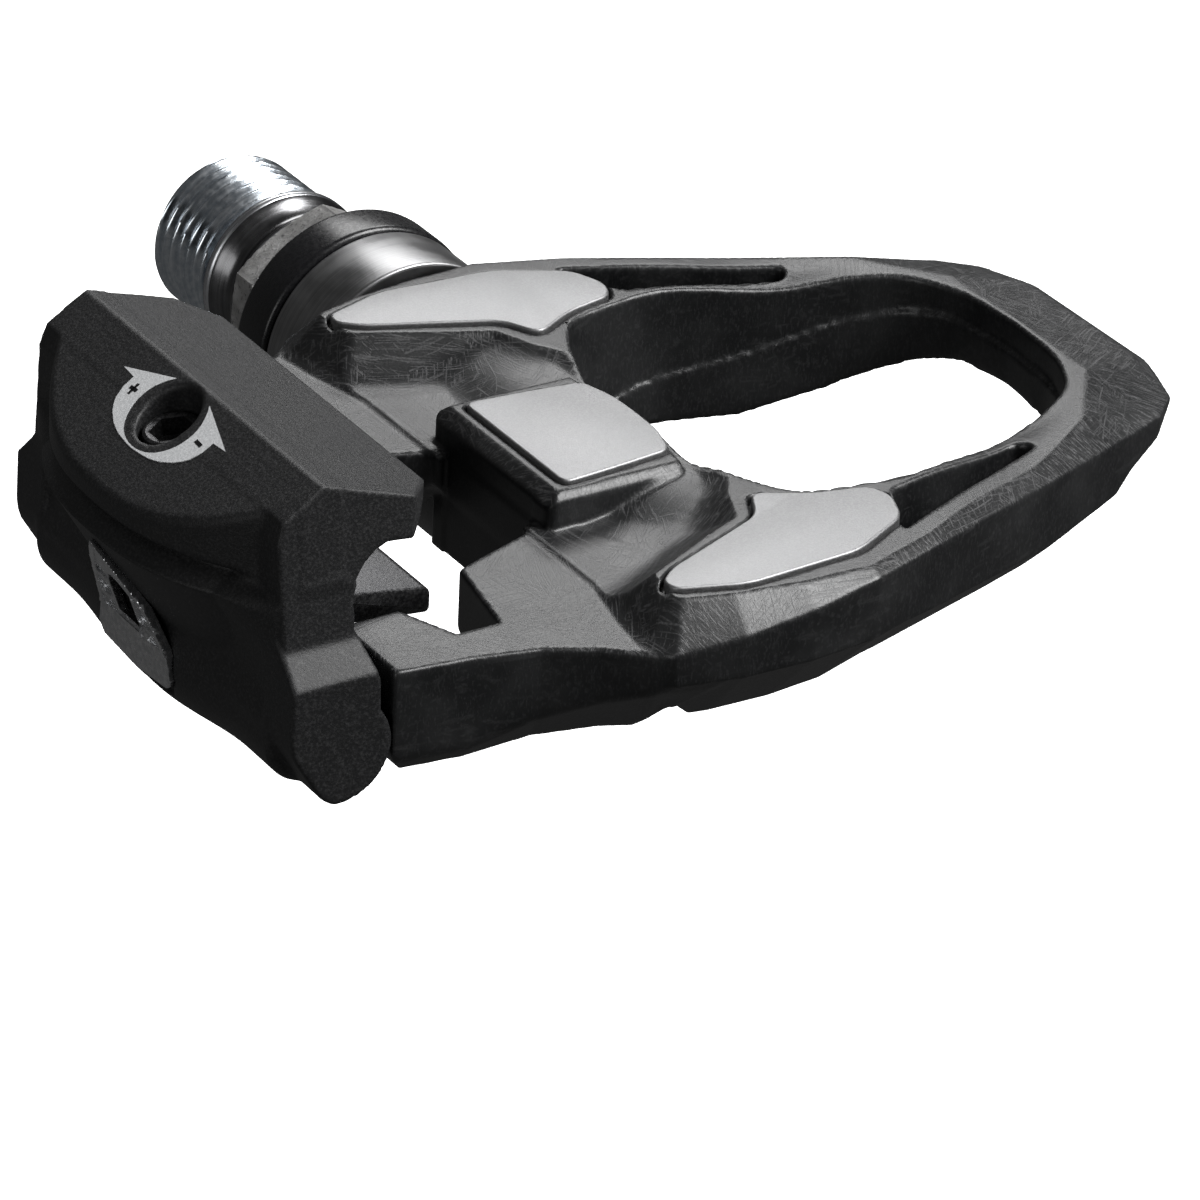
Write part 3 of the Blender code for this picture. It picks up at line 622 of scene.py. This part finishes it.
def body_cuts(x, y, z):
    """Slots, heel pocket, spindle room, pin bore and plate seats, each with the rounding of its rim."""
    v = np.abs(y)
    yield np.maximum(polygon(x, v, rounded(SLOT, 0.8)), SLOT_FLOOR_Z - z), 0.3
    yield box_field(x, v, z, (-24.0, -9.0, -14.0), (BLOCK_BACK_X, POCKET_HALF_Y, 14.0)), 0.3
    yield np.maximum(np.hypot(x, z) - SPINDLE_ROOM_R, SPINDLE_ROOM_END_Y - y), 0.3
    yield np.hypot(x - PIN_X, z - PIN_Z) - PIN_BORE_R, 0.2
    for outline in (across(CENTRE_PLATE_HALF), WING_PLATE):
        seat = polygon(x, v, rounded(outline, 1.1)) - SEAT_GAP
        yield np.maximum(seat, PLATE_UNDER_Z - SEAT_GAP - z), 0.12


def body_field(x, y, z):
    v = np.abs(y)
    rim = polygon(x, v, across(RIM_HALF + BACK_HALF))
    window = polygon(x, v, rounded(across(WINDOW_HALF), 2.0))
    solid = either(platform_field(x, v, z, rim, window), arm_field(x, v, z), 0.7)
    ledge_z = np.interp(x, (10.0, 22.6, 27.5, 35.6), (1.3, 3.7, 5.2, 7.4))
    solid = without(solid, window + np.where(z < ledge_z, LEDGE_WIDTH, 0.0), 0.3)
    solid = either(solid, without(block_field(x, v, z), window, 0.3), 0.35)
    solid = either(solid, housing_field(x, y, z), 0.9)
    solid = either(solid, pin_boss_field(x, v, z), 0.3)
    for cut, rounding in body_cuts(x, y, z):
        solid = without(solid, cut, rounding)
    return solid


def moulded_body(step):
    low, high = extent("pedal_body")
    points, quads = contour(body_field, low - 2 * step, high + 2 * step, step)
    points = np.clip(points, low, high)
    piece("moulded_body", points, quads, LOOKS["composite"], "pedal_body", ["pedal_body"])


# ---------------------------------------------------------------- contact plates

def plate(name, outline):
    """A thin plate with a fine rolled edge."""
    radius = 0.22
    levels = [(outline, PLATE_UNDER_Z)]
    for step in range(5):
        turn = math.pi / 2 * step / 4
        ring = inset(outline, radius * (1 - math.cos(turn)))
        levels.append((ring, PLATE_TOP_Z - radius * (1 - math.sin(turn))))
    points = [(x, y, z) for ring, z in levels for x, y in ring]
    faces = rings_to_faces(len(levels), len(outline))
    piece(name + "_surface", points, faces, LOOKS["contact_steel"], "pedal_body",
          [name], 50)


def contact_plates():
    plate("centre_plate", rounded(mirrored(CENTRE_PLATE_HALF), 1.0, 8))
    plate("inboard_wing_plate", rounded(WING_PLATE, 1.3, 8))
    plate("outboard_wing_plate", rounded(flip(WING_PLATE), 1.3, 8))


# ---------------------------------------------------------------- claw

EAR_OUT_Y = extent("claw")[1][1]
EAR_R = 4.3
HOOD_HALF_Y = 18.5
SHOULDER_Z = 10.0
BACK_X = -46.1
FACE_TOP_Z = 11.9
FACE_WALL = 1.2
LOBE_WALL = 0.45
SCREW_HOLE_R = 2.6
# The hood's roof and front facet meet in a ridge; their normals are (x, z).
ROOF_RIDGE_X = -36.6
ROOF_RIDGE_Z = 21.45
ROOF_NORMAL = (-0.542, 0.840)
FACET_NORMAL = (0.305, 0.952)
LIP_X = extent("claw")[1][0]
HOOK = [(-26.3, 18.15), (-26.4, 16.9), (-27.3, 15.9), (-29.3, 15.7), (-31.4, 15.9), (-32.5, 15.5),
        (-33.4, 14.7), (-34.1, 13.6), (-34.4, 12.0), (-34.4, 3.0),
        (-40.2, 3.0), (-40.4, 17.6), (-39.9, 19.3), (ROOF_RIDGE_X, ROOF_RIDGE_Z)]
EAR = [(-34.4, 10.4), (-33.3, 6.2), (-33.2, PIN_Z), (-40.8, PIN_Z), (-40.6, 6.9), (-40.3, 10.4)]
# Height first, then distance from the centre plane.
SURROUND_HALF = [(10.8, 0), (9.4, 1.4), (7.9, 2.8), (6.3, 4.05), (4.4, 4.6), (2.4, 5.1), (0.6, 5.5),
                 (-0.3, 4.8), (-0.8, 0)]
GAUGE_WINDOW_HALF = [(7.6, 0), (7.2, 0.9), (6.3, 1.75), (3.3, 1.75), (3.3, 0)]
SHADOW_HALF = [(1.0, 0), (1.0, 5.1), (0.2, 5.4), (-1.2, 4.6), (-2.0, 0)]
TICKS_Z = (6.3, 4.4, 2.5)


def surround_x(z):
    """Where the window's surround lies at a height; it bends to follow the claw's back."""
    return np.interp(z, (-3.0, 0.0, 3.0, 6.3, 10.8, 12.0), (-40.9, -41.5, -41.8, -42.95, -45.4, -46.0))


def rim_back(v):
    """The hood's bowed rear edge in plan."""
    return -38.6 - 7.0 * (1.0 - np.minimum(v / 17.3, 1.0) ** 2.5)


def half_width(z):
    """Below the hood the claw steps out to the ears over a sloping shoulder."""
    return np.clip(HOOD_HALF_Y + 0.983 * (SHOULDER_Z - z), HOOD_HALF_Y, EAR_OUT_Y)


def face_back(v, z):
    """The recessed rear face: a bowed middle that slants in towards the pin, and a fin at each side."""
    crease = np.interp(z, (0.0, 9.0), (10.0, 13.0))
    slant = np.where(z < FACE_TOP_Z, 0.604 * (FACE_TOP_Z - z), 1.1 * (z - FACE_TOP_Z))
    middle = BACK_X + slant + 6.5 * (np.minimum(v, crease) / 17.3) ** 2.5
    raw = (v - crease) / (half_width(z) - crease)
    share = 0.5 * (raw + np.sqrt(raw * raw + 0.012))
    return middle + (-40.5 - middle) * share


def back_field(x, v, z):
    """The claw's back below the hood: the slanted face, and the lobe round the pin."""
    face = 0.86 * (face_back(v, z) - x)
    lobe_r = 4.95 - 1.1 * (1.0 - np.cos(math.pi * np.clip((v - 1.0) / 13.0, 0.0, 1.0))) / 2
    lobe = both(np.hypot(x - PIN_X + 0.2, z - PIN_Z + 0.5) - lobe_r, v - 18.2, 0.6)
    return face, lobe


def ridge_plane(x, z, normal):
    """Height above a sloping plane through the roof's ridge."""
    return normal[0] * (x - ROOF_RIDGE_X) + normal[1] * (z - ROOF_RIDGE_Z)


def hood_and_hook(x, v, z):
    """The hood over the screw and the hooked lip in front of it, both cut by the claw's leaning sides."""
    side = 0.99 * (v + 0.12 * (z - 15.7) - 18.55)
    lip_corner = 0.779 * (x - LIP_X) + 0.628 * (v - 15.0)
    hook = both(both(polygon(x, z, HOOK), side, 0.2), lip_corner, 0.2)
    hood = both(rim_back(v) - x, ridge_plane(x, z, ROOF_NORMAL), 0.5)
    hood = both(hood, np.maximum(x + 35.0, 13.9 - z), 0.3)
    return both(hood, side, 0.25), hook


def ear_field(x, v, z):
    """The ears outside the body's arms, which carry the pin's ends."""
    end = np.hypot(x - PIN_X - 0.15, z - PIN_Z + 0.4) - EAR_R
    heel = -0.856 * (x - BACK_X) - 0.517 * (z - FACE_TOP_Z) - 0.55
    ear = both(np.minimum(polygon(x, z, EAR), end), heel, 0.8)
    shoulder = 0.7 * (v - HOOD_HALF_Y) + 0.714 * (z - SHOULDER_Z)
    return both(both(ear, np.maximum(v - EAR_OUT_Y, 17.0 - v), 0.3), shoulder, 0.15)


def claw_cuts(x, y, z, face, lobe):
    """Spring room, mouth, adjuster room, bores and indicator seat, each with the rounding of its rim."""
    v = np.abs(y)
    radius = np.hypot(x - PIN_X, z - PIN_Z)
    room = np.maximum(radius - np.where(v < 12.9, 3.65, 3.3), v - 17.95)
    yield np.maximum(room, np.minimum(face, lobe) + LOBE_WALL), 0.2
    yield box_field(x, v, z, (-36.3, -9.0, -14.0), (-18.0, 18.0, 8.8)), 0.3
    adjuster_room = box_field(x, v, z, (-40.7, -9.0, 3.2), (-35.2, 8.6, 16.2))
    yield np.maximum(adjuster_room, face + FACE_WALL), 0.2
    yield np.maximum(radius - PIN_BORE_R, v - 21.0), 0.1
    along = (x - SCREW_X) * SCREW_AXIS.x + (z - SCREW_Z) * SCREW_AXIS.z
    beside = (x - SCREW_X) * SCREW_AXIS.z - (z - SCREW_Z) * SCREW_AXIS.x
    yield np.maximum(np.hypot(beside, y) - SCREW_HOLE_R, along - 9.0), 0.35
    behind = x - surround_x(z)
    yield np.maximum(polygon(z, v, across(SURROUND_HALF)) - 0.12, behind - 0.3), 0.0
    yield np.maximum(polygon(z, v, across(SHADOW_HALF)), behind - 0.75), 0.15
    yield np.maximum(polygon(z, v, across(GAUGE_WINDOW_HALF)), np.abs(x + 43.0) - 4.0), 0.0


def claw_field(x, y, z):
    v = np.abs(y)
    hood, hook = hood_and_hook(x, v, z)
    face, lobe = back_field(x, v, z)
    lower = both(both(face, z - 13.2, 0.8), v - half_width(z), 0.2)
    lower = both(both(lower, x + 34.6), PIN_Z + 0.6 - z, 0.3)
    shell = either(either(hood, lower, 1.6), hook, 0.3)
    for normal in (ROOF_NORMAL, FACET_NORMAL):
        shell = both(shell, ridge_plane(x, z, normal), 0.1)
    solid = either(either(shell, lobe, 1.5), ear_field(x, v, z), 0.25)
    for cut, rounding in claw_cuts(x, y, z, face, lobe):
        solid = without(solid, cut, rounding)
    return solid


def claw_shell(step):
    low, high = extent("claw")
    points, quads = contour(claw_field, low - 2 * step, high + 2 * step, step)
    points = np.clip(points, low, high)
    piece("claw_shell", points, quads, LOOKS["resin"], "claw", ["claw"])


# ---------------------------------------------------------------- spindle and axle unit

def hex_radius(across_flats):
    def radius(angle):
        turn = np.mod(angle + math.pi / 6, math.pi / 3) - math.pi / 6
        return across_flats / 2 / np.cos(turn)
    return radius


def capped_hex(across_flats, limit):
    return lambda angle: np.minimum(hex_radius(across_flats)(angle), limit)


def thread_rows(start, end, crest, pitch):
    """Rows of a right-hand helical thread that fades in at the relief and out at the end."""
    rows = []
    rows_per_mm = 12
    for step in range(int((end - start) * rows_per_mm) + 1):
        y = start + step / rows_per_mm

        def radius(angle, y=y):
            phase = np.mod(y / pitch - angle / (2 * math.pi), 1.0)
            rise = np.clip(1.0 - 2.35 * np.abs(phase - 0.5), 0.0, 0.92) / 0.92
            fade = min(1.0, (y - start) / 0.5, (end - y) / 0.7)
            return crest - 0.74 + 0.72 * rise * fade

        rows.append((y, radius))
    return rows


def spindle_surface():
    low, high = extent("spindle")
    end = high[1]
    crest = 7.14
    shoulder = -CENTRE_Y
    neck = []
    for step in range(25):
        t = step / 24
        neck.append((47.4 + (shoulder - 0.9 - 47.4) * t, 7.45 - 1.15 * math.sin(math.pi * t) ** 1.3))
    rows = [(low[1], 1.7), (low[1] + 0.2, 2.0), (4.5, 2.0), (5.5, 3.6), (15.9, 4.1), (16.1, 4.2), (31.0, 4.2),
            (32.0, 5.2), (46.8, 5.2), (46.9, 7.3), (47.1, 7.5)] + neck
    rows += [(shoulder - 0.75, 7.3), (shoulder - 0.6, 7.5), (shoulder - 0.08, 7.5), (shoulder, 7.42),
             (shoulder, 7.2), (shoulder - 0.3, 6.4), (shoulder + 0.6, 6.35)]
    rows += thread_rows(shoulder + 0.7, end - 0.25, crest, 1.27)
    rows += [(end - 0.05, 6.2), (end, 6.1), (end, 4.9), (end - 0.4, 4.75)]
    rows += [(end - 0.45, hex_radius(8.0)), (end - 7.0, hex_radius(8.0)), (end - 7.6, 3.0)]
    made = ring_solid("spindle_surface", rows, LOOKS["neck"], "spindle", ["spindle"],
                      160, False, 55)
    made.data.materials.append(LOOKS["zinc"])
    made.data.materials.append(LOOKS["bright_steel"])
    for face in made.data.polygons:
        y = face.center.y / MM - CENTRE_Y
        rim = 46.8 < y < 47.2 or shoulder - 0.8 < y < shoulder + 0.05
        face.material_index = 1 if y > shoulder + 0.1 else 2 if rim or y < 46.8 else 0


def lock_nut_surface():
    low, high = extent("lock_nut")
    flats = 15.8
    corner = flats / math.sqrt(3)
    bore = corner * 0.62
    face_r = flats / 2 - 0.25
    chamfer = 0.9

    def chamfered(share):
        return capped_hex(flats, face_r + (corner - face_r) * share ** 0.8)

    shares = (0.12, 0.3, 0.55, 0.8, 1.0)
    rows = [(low[1], bore), (low[1], face_r)]
    rows += [(low[1] + chamfer * share, chamfered(share)) for share in shares]
    rows += [(high[1] - chamfer * share, chamfered(share)) for share in reversed(shares)]
    rows += [(high[1], face_r), (high[1], bore)]
    ring_solid("lock_nut_surface", rows, LOOKS["forged"], "pedal_body", ["lock_nut"],
               192, True, 35)


def seal_housing_surface():
    low, high = extent("seal_housing")
    outer = high[2]
    edge = 0.55
    rows = [(low[1], 6.9), (low[1], outer - edge)]
    rows += arc_rows(low[1] + edge, outer - edge, edge, 180, 90, 6)
    rows += arc_rows(high[1] - edge, outer - edge, edge, 90, 0, 6)
    rows += [(high[1], 8.2), (high[1] - 0.25, 8.0), (high[1] - 0.25, 6.9)]
    ring_solid("seal_housing_surface", rows, LOOKS["black_resin"], "pedal_body",
               ["seal_housing"])


def bearing_sleeve_surface():
    low, high = extent("bearing_sleeve")
    outer = high[2]
    edge = 0.3
    rows = [(low[1], 5.7), (low[1], 6.1), (low[1] + 0.2, 6.3), (30.4, 6.3), (30.7, outer - edge)]
    rows += arc_rows(30.7 + edge, outer - edge, edge, 180, 90)
    rows += arc_rows(high[1] - edge, outer - edge, edge, 90, 0)
    rows += [(high[1], 5.7)]
    ring_solid("bearing_sleeve_surface", rows, LOOKS["sleeve"], "pedal_body",
               ["bearing_sleeve"])


# ---------------------------------------------------------------- small pieces of the claw

def cleat_guide_surface():
    low, high = extent("cleat_guide")
    profile = rounded([(low[0], high[2]), (low[0], 6.4), (high[0] - 0.3, low[2]), (high[0], low[2] + 0.3),
                       (high[0], 7.2), (high[0] - 0.5, 7.6)], 0.35, 4)
    edge = 0.3
    rows = []
    for y, shrink in ((low[1], edge), (low[1] + 0.09, 0.09), (low[1] + edge, 0.0),
                      (high[1] - edge, 0.0), (high[1] - 0.09, 0.09), (high[1], edge)):
        rows.append([(x, y, z) for x, z in inset(profile, shrink)])
    points = [point for row in rows for point in row]
    faces = rings_to_faces(len(rows), len(profile))
    piece("cleat_guide_surface", points, faces, LOOKS["dark_steel"], "claw",
          ["cleat_guide"], 40)


def on_screw(points):
    """Places points given across the screw's axis, height 0 at the claw's roof, on that axis."""
    tilt = Matrix.Rotation(math.atan2(SCREW_AXIS.x, SCREW_AXIS.z) + math.pi, 4, "Y")
    move = Matrix.Translation((SCREW_X, 0.0, SCREW_Z)) @ tilt
    return [tuple(move @ Vector(point)) for point in points]


def screw_surface():
    """Hex-socket head with a rounded rim, and its shank."""
    around = 96
    angle = np.linspace(0.0, 2 * math.pi, around, endpoint=False)
    head = -1.25
    rows = [(-8.55, 1.0), (-8.4, 1.18), (-3.6, 1.18), (-3.38, 2.28), (head - 0.3, 2.28), (head - 0.1, 2.2),
            (head, 2.0), (head, 1.9), (head - 0.12, hex_radius(3.0)), (head - 1.6, hex_radius(3.0)),
            (head - 1.9, 0.5)]
    points = []
    for height, radius in rows:
        size = radius(angle) if callable(radius) else np.full(around, radius)
        points += list(zip(size * np.cos(angle), size * np.sin(angle), np.full(around, height)))
    faces = rings_to_faces(len(rows), around)
    piece("tension_screw_surface", on_screw(points), faces, LOOKS["dark_steel"], "tension_screw",
          ["tension_screw"], 40)


def roof_height(x):
    """The hood's top plane."""
    return ROOF_RIDGE_Z - ROOF_NORMAL[0] / ROOF_NORMAL[1] * (x - ROOF_RIDGE_X)


def flat_print(name, outlines, look, proud):
    """Thin printed shapes just proud of the hood's top plane. Outlines are (x, y) seen from above."""
    points, faces = [], []
    for outline in outlines:
        start = len(points)
        count = len(outline)
        for lift in (-0.04, proud):
            points += [(x, y, roof_height(x) + lift) for x, y in outline]
        faces += [[start + corner for corner in face] for face in rings_to_faces(2, count)]
    piece(name, points, faces, LOOKS[look], "claw", smooth_angle=30)


def on_roof(radius, degrees):
    """A point of the roof round the screw hole, seen from above. 0 degrees is toe-ward, 90 crank-ward."""
    turn = math.radians(degrees)
    return SCREW_X + ROOF_NORMAL[1] * radius * math.cos(turn), radius * math.sin(turn)


# Half of the printed mark as (degrees on from the waist, radius): a band with an arrow head at its end.
ARROW_OUTSIDE = [(0, 3.74), (8, 3.76), (15, 3.81), (24, 3.96), (33, 4.2), (41, 4.45), (49, 4.77),
                 (61, 5.3), (68, 5.6), (74, 5.84), (84, 6.03), (94, 6.05), (94, 7.75)]
ARROW_INSIDE = [(134, 3.45), (123, 3.5), (113, 3.57), (105, 3.65), (97, 3.72), (89, 3.76), (81, 3.78),
                (73, 3.8), (66, 3.8), (57, 3.79), (48, 3.77), (40, 3.75), (32, 3.72), (24, 3.68),
                (16, 3.64), (8, 3.62), (0, 3.61)]
WAIST = 180.0
SIGN_PLACE = 86.5
SIGN_R = 4.95


def sign(degrees, with_upright):
    """Outlines of a minus sign, or of a plus sign, on the printed band."""
    half_long, half_thick = 0.45, 0.13
    x, y = on_roof(SIGN_R, degrees)
    shapes = []
    for turn in ((0.0, 90.0) if with_upright else (0.0,)):
        lean = math.radians(degrees + turn)
        ux, uy = math.cos(lean), math.sin(lean)
        shapes.append([(x + a * ux - b * uy, y + a * uy + b * ux) for a, b in
                       ((-half_long, -half_thick), (half_long, -half_thick),
                        (half_long, half_thick), (-half_long, half_thick))])
    return shapes


def adjuster_print():
    """Two tapering arrows round the screw hole, marked plus and minus in black."""
    arrows = [[on_roof(radius, WAIST + way * degrees) for degrees, radius in ARROW_OUTSIDE + ARROW_INSIDE]
              for way in (1, -1)]
    flat_print("adjuster_arrows", arrows, "print", 0.03)
    signs = sign(WAIST + SIGN_PLACE, False) + sign(WAIST - SIGN_PLACE, True)
    flat_print("adjuster_signs", signs, "black_resin", 0.06)


def surround_field(x, y, z):
    """Shield-shaped surround: stepped ticks either side of a window, an index bar and a plain foot."""
    v = np.abs(y)
    outline = polygon(z, v, across(SURROUND_HALF))
    spacing = TICKS_Z[0] - TICKS_Z[1]
    foot_z = TICKS_Z[-1] - 0.02
    step = np.mod(z - TICKS_Z[-1], spacing) / spacing
    louvre = (v > 2.0) & (z < TICKS_Z[0] + 0.9 * spacing) & (z > foot_z)
    raised = np.where(louvre, 0.15 + 0.45 * step, 0.42)
    rail = np.abs(outline + 0.3) - 0.28
    raised = np.where((rail < 0) & (v > 0.3), 0.5, raised)
    raised = np.where(z < foot_z, 0.34 - 0.04 * (z - TICKS_Z[-1]), raised)
    outer_face = surround_x(z) - raised - x
    inner_face = x - surround_x(z) - 0.25
    solid = np.maximum(0.8 * np.maximum(outer_face, inner_face), outline)
    window = polygon(z, v, across(GAUGE_WINDOW_HALF)) + 0.15
    bar = box_field(x, v, z, (-43.0, -1.0, 2.55), (-41.6, 1.8, 3.2))
    return np.minimum(np.maximum(solid, -window), np.maximum(bar, surround_x(z) - 0.75 - x))


def indicator_surround(step):
    low, high = extent("indicator_frame")
    margin = np.array((0.0, 0.6, 0.0))
    points, quads = contour(surround_field, low - margin - 3 * step, high + margin + 3 * step, step)
    points = np.clip(points, low - margin, high + margin)
    piece("indicator_surround", points, quads, LOOKS["chrome"], "claw", ["indicator_frame"], 30)


# ---------------------------------------------------------------- carried-over CAD nodes

CARRIED = {
    "dust_seal": "seal_rubber", "outer_race": "bright_steel", "bearing_cone": "bright_steel",
    "keyed_washer": "bright_steel", "cone_lock_nut": "bright_steel", "inboard_ball_ring": "bright_steel",
    "outboard_ball_ring": "bright_steel", "needle_roller_ring": "bright_steel", "hinge_pin": "bright_steel",
    "outboard_spring": "spring_steel", "inboard_spring": "spring_steel", "tension_nut": "bright_steel",
    "indicator_marker": "marker",
}


def dress_carried_nodes():
    for node, look in CARRIED.items():
        shown = frame["nodes"][node]
        shown.data.materials.clear()
        shown.data.materials.append(LOOKS[look])


# ---------------------------------------------------------------- studio

AIM = Vector((-6.4, -8.5, 0.0))
AZIMUTH = math.radians(-33.27)
ELEVATION = math.radians(28.57)
ROLL = math.radians(2.79)
DISTANCE = 496.9
LENS_MM = 196.0
SENSOR_MM = 36.0
FLOOR_Z = -70.0


def to_world(point):
    return (Vector(point) + Vector((0.0, CENTRE_Y, 0.0))) * MM


def add_camera():
    camera = bpy.data.cameras.new("camera")
    camera.lens = LENS_MM
    camera.sensor_width = SENSOR_MM
    camera.clip_start = 0.01
    made = bpy.data.objects.new("camera", camera)
    bpy.context.collection.objects.link(made)
    forward = Vector((-math.sin(AZIMUTH) * math.cos(ELEVATION), math.cos(AZIMUTH) * math.cos(ELEVATION),
                      -math.sin(ELEVATION)))
    level = forward.cross(Vector((0.0, 0.0, 1.0))).normalized()
    right = level * math.cos(ROLL) + level.cross(forward) * math.sin(ROLL)
    up = right.cross(forward)
    turn = Matrix((right, up, -forward)).transposed().to_4x4()
    made.matrix_world = Matrix.Translation(to_world(AIM - forward * DISTANCE)) @ turn
    bpy.context.scene.camera = made


def add_floor():
    half = 4000.0
    shape = bmesh.new()
    corners = [shape.verts.new(to_world((x, y, FLOOR_Z))) for x, y in
               ((-half, -half), (half, -half), (half, half), (-half, half))]
    shape.faces.new(corners)
    mesh = bpy.data.meshes.new("floor")
    shape.to_mesh(mesh)
    shape.free()
    pale = bpy.data.materials.new("floor_look")
    pale.use_nodes = True
    shader = pale.node_tree.nodes["Principled BSDF"]
    shader.inputs["Base Color"].default_value = (0.93, 0.93, 0.93, 1.0)
    shader.inputs["Roughness"].default_value = 0.9
    shader.inputs["Emission Color"].default_value = (1.0, 1.0, 1.0, 1.0)
    shader.inputs["Emission Strength"].default_value = 0.75
    mesh.materials.append(pale)
    floor = bpy.data.objects.new("floor", mesh)
    bpy.context.collection.objects.link(floor)
    floor.visible_diffuse = False
    floor.visible_glossy = False


def add_light(name, place, size, watts, aim=(0.0, 0.0, 5.0)):
    light = bpy.data.lights.new(name, "AREA")
    light.shape = "RECTANGLE"
    light.size = size[0] * MM
    light.size_y = size[1] * MM
    light.energy = watts
    made = bpy.data.objects.new(name, light)
    bpy.context.collection.objects.link(made)
    start = to_world(place)
    turn = (start - to_world(aim)).to_track_quat("Z", "Y").to_matrix().to_4x4()
    made.matrix_world = Matrix.Translation(start) @ turn


def add_studio():
    world = bpy.data.worlds.new("studio")
    world.use_nodes = True
    world.node_tree.nodes["Background"].inputs["Color"].default_value = (1.0, 1.0, 1.0, 1.0)
    world.node_tree.nodes["Background"].inputs["Strength"].default_value = 0.07
    bpy.context.scene.world = world
    bpy.context.scene.view_settings.view_transform = "Standard"
    add_light("key", (430.0, -390.0, 680.0), (480.0, 480.0), 12.0)
    add_light("behind", (400.0, 640.0, 640.0), (520.0, 420.0), 4.0)
    add_light("heel_fill", (-800.0, -300.0, 200.0), (350.0, 350.0), 0.9)


# Grid steps of the contoured pieces, as (fine, quick).
BODY_STEPS = (0.34, 0.6)
CLAW_STEPS = (0.34 * 0.75, 0.6 * 0.8)
SURROUND_STEPS = (0.1, 0.2)


def main():
    grid = int(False)
    moulded_body(BODY_STEPS[grid])
    claw_shell(CLAW_STEPS[grid])
    contact_plates()
    spindle_surface()
    lock_nut_surface()
    seal_housing_surface()
    bearing_sleeve_surface()
    cleat_guide_surface()
    screw_surface()
    adjuster_print()
    indicator_surround(SURROUND_STEPS[grid])
    dress_carried_nodes()
    add_camera()
    add_floor()
    add_studio()


main()
